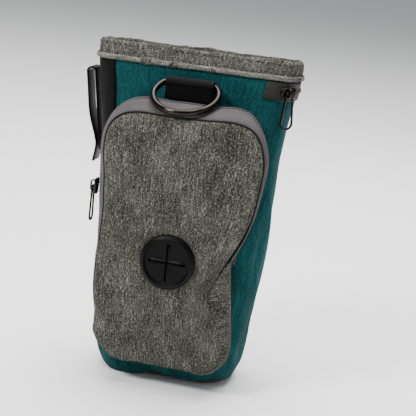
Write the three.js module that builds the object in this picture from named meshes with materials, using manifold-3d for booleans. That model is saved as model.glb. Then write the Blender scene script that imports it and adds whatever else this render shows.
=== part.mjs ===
// Treat pouch for dog training. Millimetres, +Z up, the front faces -Y.
// The origin is at the middle of the base, on the surface that the pouch stands on.
import * as THREE from 'three';
import { mergeVertices } from 'three/addons/utils/BufferGeometryUtils.js';
import Module from 'manifold-3d';

const wasm = await Module();
wasm.setup();

// ---- Driving dimensions ----

// The outside of the bag at a few heights: half its width, its front face and its back face.
const SECTIONS = [
  { z: 0, half: 35, front: -20, back: 17 },
  { z: 8, half: 39, front: -21.5, back: 20.5 },
  { z: 22, half: 41, front: -22, back: 22 },
  { z: 45, half: 42, front: -22, back: 22 },
  { z: 65, half: 42.5, front: -20.5, back: 21 },
  { z: 95, half: 44, front: -17.5, back: 18 },
  { z: 125, half: 46.5, front: -15.5, back: 15.5 },
  { z: 145, half: 49, front: -14, back: 14 },
  { z: 167.5, half: 52.8, front: -12.4, back: 12.4 },
  { z: 177, half: 53, front: -6, back: 6 },
];
const CORNER_SHARE = 0.4; // corner radius as a share of the bag's depth
const CORNER_MAX = 15;
const GAP = 0.3; // room between pieces that touch
const HEIGHT = 177;

// Layers, measured inwards from the outside of the bag.
const SHELL = [0, 1.4];
const LINING = [1.7, 2.4];
const BASE_INSET = 2.7;
const WALL_BOTTOM = 1.9;
const WALL_TOP = 167.2;
const BASE_PANEL = [0, 1.6];
const BASE_BOARD = [1.9, 2.9];
const BASE_LINING = [3.2, 4];

// The cuff is one strip folded over the rim, with a stiffener and a magnet inside the fold.
const CUFF_BOTTOM = 167.5;
const CUFF_OUTER = [-0.8, 0.2];
const CUFF_INNER = [1.9, 2.9];
const CUFF_TOP_WEB = 1;
const STIFFENER = { from: 0.5, to: 1.6, bottom: 168.2, top: 175.7, reach: 0.9 };
const MAGNET = { half: 11, bottom: 169.2, top: 174.7 };
const WINDOW_DEPTH = 20; // how far the tool that cuts the magnet's window reaches

// Front pocket: three outlines, from its front panel's edge over its crest to its root on the bag.
const PANEL_EDGE = { topHalf: 39, bottomHalf: 34, top: 146, bottom: 10, topR: 25, bottomR: 15 };
const CREST = { topHalf: 43, bottomHalf: 36.5, top: 151.5, bottom: 8.5, topR: 30, bottomR: 17 };
const ROOT = { topHalf: 38, bottomHalf: 33.5, top: 147, bottom: 12, topR: 25, bottomR: 14 };
const POCKET_X = 2;
const POCKET_DEPTH = { bottom: 12, top: 25, bottomZ: 10, topZ: 125 };
const POCKET_PANEL_THICK = 1.2;
const POCKET_DOME = 3;
const POCKET_WALL = 1;
const ZIP_END_Z = 77;
const ZIP_STOP = { clear: 0.4, thick: 1.6, width: 3.6, height: 2.3 };
// Bands across the pocket's side: 0 is the panel's edge, 1 the crest and 2 the root.
const TAPE_FRONT = [0.03, 0.85];
const COIL_FRONT = [0.88, 0.98];
const COIL_REAR = [1.02, 1.12];
const TAPE_REAR = [1.15, 1.97];
const GUSSET_BAND = [0.03, 1.97];
const PIPING_R = 0.9;
const PIPING_CLEAR = 1.4; // from the pocket's root outline to its piping

// Rubber bag dispenser on the pocket.
const DISC = { x: 3.5, z: 73, r: 14.2, membraneR: 12, neckInner: 10.8, seatClear: 0.35, seatLength: 30 };
const SLIT = { reach: 10, flapGap: 0.6 };
const DISC_RISE = 3.2;
const BEZEL_EDGE = { drop: 0.9, outer: 0.6, inner: 0.7 };
const MEMBRANE = [1, 2];
const NECK_DEPTH = 4.4;
const BACK_RING = { inner: 12.35, outer: 15, from: -4.3, to: -3.2 };

// D-ring and its webbing loop.
const RING = { z: 160, y: -17.2, wire: 1.7, bar: 27, arcR: 16.5, lean: 64 };
const LOOP = { width: 25, thick: 1.2, bore: 2.1, bottom: 151.5 };
const TAIL_SLACK = 0.2;

// Left end: webbing strip and belt clip.
// The strip's wrap is its reach round the front corner and round the back one.
const STRIP = { wrap: [-18.5, 10], from: -0.3, to: -1.7, bottom: 62, top: 166.5 };
const CLIP = { top: 161, plateLength: 41.6, width: 11, steel: 0.9, bendR: 2.2, lean: 8.2 };
// The clip's outer leg below its bend, as [outwards, up]: it bows in to a heel and flares at its tip.
const CLIP_LEG = [[-4.2, -22], [-2.1, -35], [-2.1, -40], [-4.4, -48]];
const RIVET = { r: 2.1, topR: 1.6, height: 0.8, drops: [12, 28] };

// Second zipper, from the front right corner round the right end and across the back.
const ZIP2 = { z: 161.9, coilHalf: 1.1, tapeHalf: 4.6, tape: [-0.3, -1], coil: [-0.3, -1.7] };
const ZIP2_START = 62; // degrees from the right end towards the front
const TAB_ARC = [66, 88];
const TAB_LAYER = [-0.4, -1.4];

// Rear pocket, belt loop and seam piping on the back wall.
const REAR_POCKET = { bottom: 25, top: 156.8, reach: 0.92, layer: [-0.3, -1.4] };
const BELT_LOOP = { half: 19, bottom: 67, top: 133, stand: 6.6, thick: 1.4, foot: 7, rise: 5 };

const BACK_PIPING = { z: [8, 155], reach: 0.985 };

// Zipper sliders: a plate with a bail that a wire pull hangs from.
const PLATE_THICK = 1.2;
const BAIL = { thick: 1.6, stand: 3, lean: 0.6, wire: 0.9, eye: [0.4, 2.2], sunk: 1 };
const PULL_STAND = 2.3; // from a slider's inner face to its pull's pivot
const BAR_CLEAR = 0.2;
const BAR_SHOULDER = 0.6;
const POCKET_SLIDER = { length: 8.5, width: 7, bail: 6.5, z: 103, clear: 1.2 };
const POCKET_PULL = { length: 19, width: 6, wire: 1.1 };
const SIDE_SLIDER = { length: 8.5, width: 6.4, bail: 5, angle: 52, clear: 2.1 };
const SIDE_PULL = { length: 19, width: 7.5, wire: 1.2 };

const COLOURS = {
  teal: 0x1d5f63,
  grey: 0x6f7068,
  lining: 0x2b2d2e,
  tape: 0x6b6468,
  coil: 0x5c575a,
  webbing: 0x17171a,
  rubber: 0x161616,
  steel: 0x3a3634,
  bright: 0x8c8a86,
  board: 0x2f3032,
  magnet: 0x55565a,
  piping: 0x8b8a80,
};

// ---- Solids ----

function material(colour, roughness = 0.85, metalness = 0) {
  return new THREE.MeshStandardMaterial({ color: colour, roughness, metalness });
}

const fabric = (colour) => material(colour, 0.9);
const metal = (colour) => material(colour, 0.3, 1);
const pouch = new THREE.Group();

function place(name, geometry, look, parent = pouch) {
  const mesh = new THREE.Mesh(geometry, look);
  mesh.name = name;
  parent.add(mesh);
  return mesh;
}

function geometryFrom(points, triangles) {
  const geometry = new THREE.BufferGeometry();
  const flat = points.flatMap((p) => [p.x, p.y, p.z]);
  geometry.setAttribute('position', new THREE.Float32BufferAttribute(flat, 3));
  geometry.setIndex(triangles);
  return facingOut(geometry);
}

// Turns a closed mesh right side out.
function facingOut(geometry) {
  const at = geometry.getAttribute('position');
  const index = geometry.index.array;
  const [a, b, c] = [new THREE.Vector3(), new THREE.Vector3(), new THREE.Vector3()];
  let volume = 0;
  for (let i = 0; i < index.length; i += 3) {
    a.fromBufferAttribute(at, index[i]);
    b.fromBufferAttribute(at, index[i + 1]);
    c.fromBufferAttribute(at, index[i + 2]);
    volume += a.dot(b.cross(c));
  }
  if (volume < 0) {
    const flipped = [];
    for (let i = 0; i < index.length; i += 3) flipped.push(index[i], index[i + 2], index[i + 1]);
    geometry.setIndex(flipped);
  }
  return geometry;
}

// A closed skin through rings of points with a flat end at each end. Every ring has the same count.
function loft(rings) {
  const count = rings[0].length;
  const triangles = [];
  for (let i = 0; i + 1 < rings.length; i++) {
    for (let j = 0; j < count; j++) {
      const k = (j + 1) % count;
      const [p, q, r, s] = [i * count + j, i * count + k, (i + 1) * count + k, (i + 1) * count + j];
      triangles.push(p, q, r, p, r, s);
    }
  }
  const last = (rings.length - 1) * count;
  const flat = rings[0].map((_, j) => endShape(rings[0], j));
  for (const [u, v, w] of THREE.ShapeUtils.triangulateShape(flat, [])) {
    triangles.push(u, w, v);
    triangles.push(last + u, last + v, last + w);
  }
  return geometryFrom(rings.flat(), triangles);
}

// A ring's point j in the ring's own plane, for filling the ends.
function endShape(ring, j) {
  const normal = new THREE.Vector3();
  ring.forEach((p, i) => {
    const q = ring[(i + 1) % ring.length];
    normal.add(new THREE.Vector3().crossVectors(p, q));
  });
  normal.normalize();
  const side = new THREE.Vector3().subVectors(ring[1], ring[0]).projectOnPlane(normal).normalize();
  const up = new THREE.Vector3().crossVectors(normal, side);
  return new THREE.Vector2(ring[j].dot(side), ring[j].dot(up));
}

// A panel of cloth: point(u, v, depth) with u and v from 0 to 1, between two depths.
function panel(point, uSteps, vSteps, depths) {
  const rings = [];
  for (let i = 0; i <= uSteps; i++) {
    const ring = [];
    for (let j = 0; j <= vSteps; j++) ring.push(point(i / uSteps, j / vSteps, depths[0]));
    for (let j = vSteps; j >= 0; j--) ring.push(point(i / uSteps, j / vSteps, depths[1]));
    rings.push(ring);
  }
  return quadLoft(rings, vSteps);
}

// As loft, for the two-sided rings of a panel: the ends are filled straight across the thickness.
function quadLoft(rings, vSteps) {
  const count = rings[0].length;
  const triangles = [];
  for (let i = 0; i + 1 < rings.length; i++) {
    for (let j = 0; j < count; j++) {
      const k = (j + 1) % count;
      const [p, q, r, s] = [i * count + j, i * count + k, (i + 1) * count + k, (i + 1) * count + j];
      triangles.push(p, q, r, p, r, s);
    }
  }
  for (const [base, turn] of [[0, 1], [(rings.length - 1) * count, 0]]) {
    for (let j = 0; j < vSteps; j++) {
      const [p, q, r, s] = [base + j, base + j + 1, base + count - 2 - j, base + count - 1 - j];
      triangles.push(...(turn ? [p, r, q, p, s, r] : [p, q, r, p, r, s]));
    }
  }
  return geometryFrom(rings.flat(), triangles);
}

function toSolid(geometry) {
  const plain = geometry.clone();
  plain.deleteAttribute('normal');
  plain.deleteAttribute('uv');
  const merged = mergeVertices(plain, 1e-4);
  return new wasm.Manifold(new wasm.Mesh({
    numProp: 3,
    vertProperties: new Float32Array(merged.getAttribute('position').array),
    triVerts: new Uint32Array(merged.index.array),
  }));
}

function fromSolid(solid) {
  const mesh = solid.getMesh();
  const geometry = new THREE.BufferGeometry();
  geometry.setAttribute('position', new THREE.BufferAttribute(new Float32Array(mesh.vertProperties), 3));
  geometry.setIndex(new THREE.BufferAttribute(new Uint32Array(mesh.triVerts), 1));
  return geometry;
}

const cut = (body, tool) => fromSolid(toSolid(body).subtract(toSolid(tool)));
const join = (...bodies) => fromSolid(bodies.map(toSolid).reduce((a, b) => a.add(b)));

function box(x, y, z) {
  const made = new THREE.BoxGeometry(x[1] - x[0], y[1] - y[0], z[1] - z[0]);
  return made.translate((x[0] + x[1]) / 2, (y[0] + y[1]) / 2, (z[0] + z[1]) / 2);
}

// An outline in X and Z, extruded along Y about y = 0.
function slabAlongY(shape, width, curveSegments = 6) {
  const geometry = new THREE.ExtrudeGeometry(shape, { depth: width, bevelEnabled: false, curveSegments });
  return geometry.translate(0, 0, -width / 2).rotateX(Math.PI / 2);
}

// ---- The bag's outside ----

const mix = (a, b, share) => a + (b - a) * share;
const radians = THREE.MathUtils.degToRad;

function section(z) {
  const next = Math.max(1, SECTIONS.findIndex((s) => s.z >= z));
  const [low, high] = [SECTIONS[next - 1], SECTIONS[next]];
  const share = (z - low.z) / (high.z - low.z);
  const half = mix(low.half, high.half, share);
  const front = mix(low.front, high.front, share);
  const back = mix(low.back, high.back, share);
  const radius = Math.min(CORNER_MAX, CORNER_SHARE * (back - front));
  return { half, front, back, radius };
}

const STRAIGHT = 0.7; // the share of a panel's path that is straight; the rest turns its two corners
const SEAM_ANGLE = 44; // degrees of each corner that belong to each panel, a little under half

// Front wall (side -1) or back wall (side 1) at t from -1 to 1 across the bag.
function facePoint(side, t, z, depth) {
  const { half, front, back, radius } = section(z);
  const wall = side < 0 ? front : back;
  const reach = Math.abs(t);
  if (reach <= STRAIGHT) {
    return new THREE.Vector3((t / STRAIGHT) * (half - radius), wall - side * depth, z);
  }
  const angle = radians(((reach - STRAIGHT) / (1 - STRAIGHT)) * SEAM_ANGLE);
  const x = Math.sign(t) * (half - radius + (radius - depth) * Math.sin(angle));
  return new THREE.Vector3(x, wall - side * (radius - (radius - depth) * Math.cos(angle)), z);
}

// The bag's end (side -1 left, 1 right) at t from -1 at its front seam to 1 at its back seam.
function endPoint(side, t, z, depth) {
  const { half, front, back, radius } = section(z);
  const reach = Math.abs(t);
  const middle = (front + back) / 2;
  const flat = (back - front) / 2 - radius;
  if (reach <= STRAIGHT) {
    return new THREE.Vector3(side * (half - depth), middle + (t / STRAIGHT) * flat, z);
  }
  const angle = radians(((reach - STRAIGHT) / (1 - STRAIGHT)) * SEAM_ANGLE);
  const x = side * (half - radius + (radius - depth) * Math.cos(angle));
  return new THREE.Vector3(x, middle + Math.sign(t) * (flat + (radius - depth) * Math.sin(angle)), z);
}

const sweep = (v) => 2 * v - 1;
const ACROSS = [-1, -0.9, -0.8, -STRAIGHT, 0, STRAIGHT, 0.8, 0.9, 1];

// The heights between two limits at which the outline changes slope.
function stops([bottom, top]) {
  const inside = SECTIONS.map((s) => s.z).filter((z) => z > bottom + 1 && z < top - 1);
  return [bottom, ...inside, top];
}

// A panel between a list of heights and a list of places across the bag.
function gridPanel(heights, places, depths, point) {
  const [rows, columns] = [heights.length - 1, places.length - 1];
  const at = (u, v, depth) => point(places[Math.round(v * columns)], heights[Math.round(u * rows)], depth);
  return panel(at, rows, columns, depths);
}

function wall(side, zRange, depths, reach = 1) {
  return gridPanel(stops(zRange), ACROSS, depths, (t, z, depth) => facePoint(side, reach * t, z, depth));
}

function end(side, zRange, depths) {
  return gridPanel(stops(zRange), ACROSS, depths, (t, z, depth) => endPoint(side, t, z, depth));
}

const WALL_Z = [WALL_BOTTOM, WALL_TOP];
place('front_panel', wall(-1, WALL_Z, SHELL), fabric(COLOURS.teal));
place('back_panel', wall(1, WALL_Z, SHELL), fabric(COLOURS.teal));
place('left_gusset', end(-1, WALL_Z, SHELL), fabric(COLOURS.teal));
place('right_gusset', end(1, WALL_Z, SHELL), fabric(COLOURS.teal));
place('lining_front', wall(-1, WALL_Z, LINING), fabric(COLOURS.lining));
place('lining_back', wall(1, WALL_Z, LINING), fabric(COLOURS.lining));
place('lining_left', end(-1, WALL_Z, LINING), fabric(COLOURS.lining));
place('lining_right', end(1, WALL_Z, LINING), fabric(COLOURS.lining));

// A flat sheet with the bag's outline at height z, drawn in by an inset.
function baseSheet(inset, [bottom, top]) {
  const { half, front, back, radius } = section(bottom);
  const r = radius - inset;
  const shape = new THREE.Shape();
  const corners = [
    [half - radius, front + radius, -90],
    [half - radius, back - radius, 0],
    [radius - half, back - radius, 90],
    [radius - half, front + radius, 180],
  ];
  for (const [x, y, start] of corners) {
    shape.absarc(x, y, r, radians(start), radians(start + 90), false);
  }
  shape.closePath();
  const settings = { depth: top - bottom, bevelEnabled: false, curveSegments: 5 };
  return new THREE.ExtrudeGeometry(shape, settings).translate(0, 0, bottom);
}

place('base_panel', baseSheet(0, BASE_PANEL), fabric(COLOURS.teal));
place('base_board', baseSheet(BASE_INSET, BASE_BOARD), material(COLOURS.board, 0.6));
place('lining_base', baseSheet(BASE_INSET + GAP, BASE_LINING), fabric(COLOURS.lining));

// ---- Cuff, stiffeners and magnets ----

const CUFF_STRAIGHT = 0.7;
const CUFF_CORNER = 0.95;

// Half of the rim (side -1 front, 1 back) at t from -1 to 1, as far as the middle of each end.
function rimPoint(side, t, z, depth) {
  const { half, front, back, radius } = section(z);
  const wallY = side < 0 ? front : back;
  const middle = (front + back) / 2;
  const reach = Math.abs(t);
  if (reach <= CUFF_STRAIGHT) {
    return new THREE.Vector3((t / CUFF_STRAIGHT) * (half - radius), wallY - side * depth, z);
  }
  const turn = Math.min(1, (reach - CUFF_STRAIGHT) / (CUFF_CORNER - CUFF_STRAIGHT));
  const angle = radians(90 * turn);
  const x = Math.sign(t) * (half - radius + (radius - depth) * Math.sin(angle));
  const y = wallY - side * (radius - (radius - depth) * Math.cos(angle));
  const on = Math.max(0, (reach - CUFF_CORNER) / (1 - CUFF_CORNER));
  return new THREE.Vector3(x, mix(y, middle + side * GAP, on), z);
}

const RIM_STEPS = [-1, -0.95, -0.89, -0.83, -0.76, -0.7, -0.35, 0, 0.35, 0.7, 0.76, 0.83, 0.89, 0.95, 1];

function cuff(side) {
  const fold = [
    [CUFF_BOTTOM, CUFF_OUTER[0]],
    [HEIGHT, CUFF_OUTER[0]],
    [HEIGHT, CUFF_INNER[1]],
    [CUFF_BOTTOM, CUFF_INNER[1]],
    [CUFF_BOTTOM, CUFF_INNER[0]],
    [HEIGHT - CUFF_TOP_WEB, CUFF_INNER[0]],
    [HEIGHT - CUFF_TOP_WEB, CUFF_OUTER[1]],
    [CUFF_BOTTOM, CUFF_OUTER[1]],
  ];
  return loft(RIM_STEPS.map((t) => fold.map(([z, depth]) => rimPoint(side, t, z, depth))));
}

// The stiffener has a window in its middle that the magnet sits in.
function stiffener(side) {
  const { from, to, bottom, top, reach } = STIFFENER;
  const places = RIM_STEPS.filter((t) => Math.abs(t) <= reach);
  const strip = gridPanel([bottom, top], places, [from, to], (t, z, depth) => rimPoint(side, t, z, depth));
  const window = box(
    [-MAGNET.half - GAP, MAGNET.half + GAP],
    side < 0 ? [-WINDOW_DEPTH, 0] : [0, WINDOW_DEPTH],
    [MAGNET.bottom - GAP, MAGNET.top + GAP],
  );
  return cut(strip, window);
}

function magnet(side) {
  const { from, to } = STIFFENER;
  const { half, radius } = section(MAGNET.top);
  const share = (CUFF_STRAIGHT * MAGNET.half) / (half - radius);
  const point = (u, v, depth) => {
    const spot = rimPoint(side, share * sweep(v), mix(MAGNET.bottom, MAGNET.top, u), depth);
    spot.x = MAGNET.half * sweep(v);
    return spot;
  };
  return panel(point, 1, 1, [from, to]);
}

for (const [side, name] of [[-1, 'front'], [1, 'back']]) {
  place(`cuff_${name}`, cuff(side), fabric(COLOURS.grey));
  place(`stiffener_${name}`, stiffener(side), material(COLOURS.board, 0.6));
  place(`magnet_${name}`, magnet(side), metal(COLOURS.magnet));
}

// ---- Front pocket ----

function pocketDepth(z) {
  const { bottom, top, bottomZ, topZ } = POCKET_DEPTH;
  return mix(bottom, top, THREE.MathUtils.clamp((z - bottomZ) / (topZ - bottomZ), 0, 1));
}

// A surface that stands clear of the bag's front, at a point across it.
function bagFront(x, z, clear) {
  const { half, front, radius } = section(z);
  const past = Math.max(0, Math.abs(x) - (half - radius));
  const reach = radius + clear;
  return front + radius - Math.sqrt(Math.max(0, reach * reach - past * past));
}

function arcPoint(x, z, r, degrees) {
  return [x + r * Math.cos(radians(degrees)), z + r * Math.sin(radians(degrees))];
}

// Half of an outline's width at the height where the zipper ends.
function halfAtZipEnd({ topHalf, bottomHalf, top, bottom, topR, bottomR }) {
  const sideStart = bottom + bottomR;
  return mix(bottomHalf, topHalf, (ZIP_END_Z - sideStart) / (top - topR - sideStart));
}

// An outline drawn in by inset: its lower part from the left zip end round the bottom to the right one.
function lowerOutline(outline, inset) {
  const { bottomHalf, bottom, bottomR } = outline;
  const endHalf = halfAtZipEnd(outline) - inset;
  const points = [];
  for (let i = 0; i <= 2; i++) {
    const share = i / 3;
    points.push([-mix(endHalf, bottomHalf - inset, share), mix(ZIP_END_Z, bottom + bottomR, share)]);
  }
  for (let i = 0; i <= 4; i++) {
    points.push(arcPoint(bottomR - bottomHalf, bottom + bottomR, bottomR - inset, 180 + (90 * i) / 4));
  }
  points.push([0, bottom + inset]);
  return [...points, ...points.slice(0, -1).reverse().map(([x, z]) => [-x, z])];
}

// Its upper part, from the right zip end over the top to the left one.
function upperOutline(outline, inset) {
  const { topHalf, top, topR } = outline;
  const endHalf = halfAtZipEnd(outline) - inset;
  const points = [];
  for (let i = 0; i <= 3; i++) {
    const share = i / 4;
    points.push([mix(endHalf, topHalf - inset, share), mix(ZIP_END_Z, top - topR, share)]);
  }
  for (let i = 0; i <= 6; i++) points.push(arcPoint(topHalf - topR, top - topR, topR - inset, (90 * i) / 6));
  points.push([0, top - inset]);
  return [...points, ...points.slice(0, -1).reverse().map(([x, z]) => [-x, z])];
}

// A point on the pocket's side: ring index i of an outline half, at band v, drawn in by inset.
function pocketSide(half, i, v, inset) {
  const at = (outline) => half(outline, inset)[i];
  const edge = at(PANEL_EDGE);
  const crest = at(CREST);
  const root = at(ROOT);
  const y = [
    section(edge[1]).front - pocketDepth(edge[1]),
    section(crest[1]).front - pocketDepth(crest[1]) / 2,
    bagFront(root[0] + POCKET_X, root[1], GAP),
  ];
  const [from, to, a, b] = v <= 1 ? [edge, crest, y[0], y[1]] : [crest, root, y[1], y[2]];
  const share = v <= 1 ? v : v - 1;
  const [x, z] = [mix(from[0], to[0], share), mix(from[1], to[1], share)];
  return new THREE.Vector3(x + POCKET_X, mix(a, b, share), z);
}

function pocketBand(half, [from, to], insets, acrossSteps = 1) {
  const count = half(CREST, 0).length - 1;
  const point = (u, v, inset) => pocketSide(half, Math.round(u * count), mix(from, to, v), inset);
  return panel(point, count, acrossSteps, insets);
}

// The fabric part of the pocket's side, below the zipper, bent over its crest.
function pocketGusset() {
  const count = lowerOutline(CREST, 0).length - 1;
  const band = (v) => (v < 0.5 ? mix(GUSSET_BAND[0], 1, 2 * v) : mix(1, GUSSET_BAND[1], 2 * v - 1));
  const point = (u, v, inset) => {
    const spot = pocketSide(lowerOutline, Math.round(u * count), band(v), inset);
    if (u === 0 || u === 1) spot.z -= GAP;
    return spot;
  };
  return panel(point, count, 2, [0, POCKET_WALL]);
}

place('pocket_gusset', pocketGusset(), fabric(COLOURS.grey));
place('zip_tape_front', pocketBand(upperOutline, TAPE_FRONT, [0, POCKET_WALL]), fabric(COLOURS.tape));
place('zip_tape_rear', pocketBand(upperOutline, TAPE_REAR, [0, POCKET_WALL]), fabric(COLOURS.tape));
place('zip_coil_front', pocketBand(upperOutline, COIL_FRONT, [-0.5, 0.7]), material(COLOURS.coil, 0.5));
place('zip_coil_rear', pocketBand(upperOutline, COIL_REAR, [-0.5, 0.7]), material(COLOURS.coil, 0.5));

// The pocket's front panel, crowned towards its middle.
function pocketPanel() {
  const outline = [...lowerOutline(PANEL_EDGE, 0).slice(0, -1), ...upperOutline(PANEL_EDGE, 0).slice(0, -1)];
  const middle = [0, (PANEL_EDGE.top + PANEL_EDGE.bottom) / 2];
  const shares = [1, 0.8, 0.55, 0.3];
  const points = [];
  const triangles = [];
  const count = outline.length;
  const faces = [POCKET_PANEL_THICK, 0].map((proud) => {
    const start = points.length;
    for (const share of [...shares, 0]) {
      const ring = share === 0 ? [outline[0]] : outline;
      for (const [x, z] of ring) {
        const height = mix(middle[1], z, share);
        const y = section(height).front - pocketDepth(height) - proud - POCKET_DOME * (1 - share * share);
        points.push(new THREE.Vector3(mix(middle[0], x, share) + POCKET_X, y, height));
      }
    }
    return start;
  });
  for (const start of faces) {
    const flip = start > 0;
    const add = (a, b, c) => triangles.push(...(flip ? [a, c, b] : [a, b, c]));
    for (let j = 0; j < count; j++) {
      const k = (j + 1) % count;
      for (let i = 0; i + 1 < shares.length; i++) {
        const [p, q] = [start + i * count, start + (i + 1) * count];
        add(p + j, p + k, q + k);
        add(p + j, q + k, q + j);
      }
      const inner = start + (shares.length - 1) * count;
      add(inner + j, inner + k, inner + count);
    }
  }
  for (let j = 0; j < count; j++) {
    const k = (j + 1) % count;
    const other = faces[1];
    triangles.push(j, other + k, k, j, other + j, other + k);
  }
  return geometryFrom(points, triangles);
}

// The plane of the dispenser's seat on the pocket panel.
const discSection = section(DISC.z);
const panelMiddle = (PANEL_EDGE.top + PANEL_EDGE.bottom) / 2;
const discOffset = Math.abs(DISC.z - panelMiddle) / (PANEL_EDGE.top - panelMiddle);
const discCrown = POCKET_DOME * (1 - discOffset ** 2);
const DISC_Y = discSection.front - pocketDepth(DISC.z) - POCKET_PANEL_THICK - discCrown - GAP;

const seatR = DISC.membraneR + DISC.seatClear;
const discHole = new THREE.CylinderGeometry(seatR, seatR, DISC.seatLength, 32);
discHole.translate(DISC.x, DISC_Y, DISC.z);
place('pocket_panel', cut(pocketPanel(), discHole), fabric(COLOURS.grey));

const TUBE_SIDES = 8;

// A round tube along points.
function tube(points, radius, steps) {
  const circle = new THREE.Shape();
  circle.absarc(0, 0, radius, 0, Math.PI * 2, false);
  const path = new THREE.CatmullRomCurve3(points, false, 'centripetal');
  const shape = { curveSegments: TUBE_SIDES, steps, bevelEnabled: false, extrudePath: path };
  return new THREE.ExtrudeGeometry(circle, shape);
}

// Piping sewn round the lower edge of the pocket, where its gusset meets the bag.
const pipingPoints = lowerOutline(ROOT, -PIPING_R - PIPING_CLEAR).map(([x, z]) => {
  return new THREE.Vector3(x + POCKET_X, bagFront(x + POCKET_X, z, PIPING_R + GAP), z);
});
place('pocket_piping', tube(pipingPoints, PIPING_R, 30), fabric(COLOURS.piping));

// A metal box stop at the closed zipper's right end.
const stopSpot = pocketSide(upperOutline, 0, 1, 0);
const stopBox = box(
  [stopSpot.x + ZIP_STOP.clear, stopSpot.x + ZIP_STOP.clear + ZIP_STOP.thick],
  [stopSpot.y - ZIP_STOP.width / 2, stopSpot.y + ZIP_STOP.width / 2],
  [ZIP_END_Z - GAP - ZIP_STOP.height, ZIP_END_Z - GAP],
);
place('zip_stop', stopBox, metal(COLOURS.steel));

// ---- Bag dispenser ----

function latheAlongY(profile, segments = 32) {
  const points = profile.map(([r, rise]) => new THREE.Vector2(r, rise));
  const turned = new THREE.LatheGeometry(points, segments);
  return facingOut(mergedClosed(turned)).rotateX(Math.PI);
}

// Merges a turned solid's seam and drops the faces that collapse on its axis.
function mergedClosed(geometry) {
  const plain = geometry.clone();
  plain.deleteAttribute('normal');
  plain.deleteAttribute('uv');
  const merged = mergeVertices(plain, 1e-4);
  const index = merged.index.array;
  const kept = [];
  for (let i = 0; i < index.length; i += 3) {
    const [a, b, c] = [index[i], index[i + 1], index[i + 2]];
    if (a !== b && b !== c && c !== a) kept.push(a, b, c);
  }
  merged.setIndex(kept);
  return merged;
}

const disc = new THREE.Group();
disc.position.set(DISC.x, DISC_Y, DISC.z);
pouch.add(disc);
const bezelProfile = [
  [0, MEMBRANE[0]],
  [DISC.neckInner, MEMBRANE[0]],
  [DISC.neckInner, -NECK_DEPTH],
  [DISC.membraneR, -NECK_DEPTH],
  [DISC.membraneR, 0],
  [DISC.r, 0],
  [DISC.r, DISC_RISE - BEZEL_EDGE.drop],
  [DISC.r - BEZEL_EDGE.outer, DISC_RISE],
  [DISC.membraneR + BEZEL_EDGE.inner, DISC_RISE],
  [DISC.membraneR, MEMBRANE[1]],
  [0, MEMBRANE[1]],
];

// A square hole standing on its corner; the four flaps fill it.
function flapShape(reach, inset) {
  const shape = new THREE.Shape();
  shape.moveTo(inset, inset);
  shape.lineTo(reach - inset, inset);
  shape.lineTo(inset, reach - inset);
  shape.closePath();
  return shape;
}

function diamond(reach) {
  const shape = new THREE.Shape();
  shape.moveTo(reach, 0);
  shape.lineTo(0, reach);
  shape.lineTo(-reach, 0);
  shape.lineTo(0, -reach);
  shape.closePath();
  return shape;
}

const slitHole = slabAlongY(diamond(SLIT.reach), 2 * MEMBRANE[1]).translate(0, -MEMBRANE[1], 0);
place('dispenser_bezel', cut(latheAlongY(bezelProfile), slitHole), material(COLOURS.rubber, 0.6), disc);
const ringProfile = [
  [BACK_RING.inner, BACK_RING.from],
  [BACK_RING.outer, BACK_RING.from],
  [BACK_RING.outer, BACK_RING.to],
  [BACK_RING.inner, BACK_RING.to],
  [BACK_RING.inner, BACK_RING.from],
];
place('dispenser_ring', latheAlongY(ringProfile), material(COLOURS.rubber, 0.6), disc);

const flapReach = SLIT.reach - SLIT.flapGap * Math.SQRT2;
const flapMiddle = (MEMBRANE[0] + MEMBRANE[1]) / 2;
for (let i = 0; i < 4; i++) {
  const flap = slabAlongY(flapShape(flapReach, SLIT.flapGap / 2), MEMBRANE[1] - MEMBRANE[0]);
  flap.rotateY((i * Math.PI) / 2).translate(0, -flapMiddle, 0);
  place(`dispenser_flap_${i + 1}`, flap, material(COLOURS.rubber, 0.6), disc);
}

// ---- D-ring and its loop ----

// The ring in its own plane, with its bar along X at the origin and its bow towards -Z.
function dRing() {
  const { wire, bar, arcR } = RING;
  const drop = Math.sqrt(arcR * arcR - (bar / 2) ** 2);
  const start = Math.atan2(drop, bar / 2);
  const bow = [];
  for (let i = 0; i <= 12; i++) {
    const angle = start - (i / 12) * (Math.PI + 2 * start);
    bow.push(new THREE.Vector3(arcR * Math.cos(angle), 0, arcR * Math.sin(angle) - drop));
  }
  const straight = new THREE.CylinderGeometry(wire, wire, bar, 10).rotateZ(Math.PI / 2);
  const knobs = [-1, 1].map((side) => {
    return new THREE.SphereGeometry(wire, 10, 8).translate((side * bar) / 2, 0, 0);
  });
  return join(tube(bow, wire, 26), straight, ...knobs.map(mergedClosed));
}

const ring = place('d_ring', dRing(), metal(COLOURS.steel));
ring.position.set(0, RING.y, RING.z);
ring.rotation.x = -radians(RING.lean);

// Webbing folded round the ring's bar; its two tails lie together on the front panel.
function ringLoop() {
  const { width, thick, bore, bottom } = LOOP;
  const outer = bore + thick;
  const shape = new THREE.Shape();
  const tail = bottom - RING.z;
  shape.absarc(0, 0, outer, 0, Math.PI, false);
  shape.lineTo(-outer, -bore);
  shape.lineTo(-thick - TAIL_SLACK, tail);
  shape.lineTo(outer, tail);
  shape.closePath();
  const eye = new THREE.Path();
  eye.absarc(0, 0, bore, 0, Math.PI * 2, true);
  shape.holes.push(eye);
  const cloth = new THREE.ExtrudeGeometry(shape, { depth: width, bevelEnabled: false, curveSegments: 10 });
  return cloth.translate(0, 0, -width / 2).rotateY(Math.PI / 2).rotateX(Math.PI / 2);
}

place('ring_loop', ringLoop(), fabric(COLOURS.webbing)).position.set(0, RING.y, RING.z);

// ---- Left end: strip and belt clip ----

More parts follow.
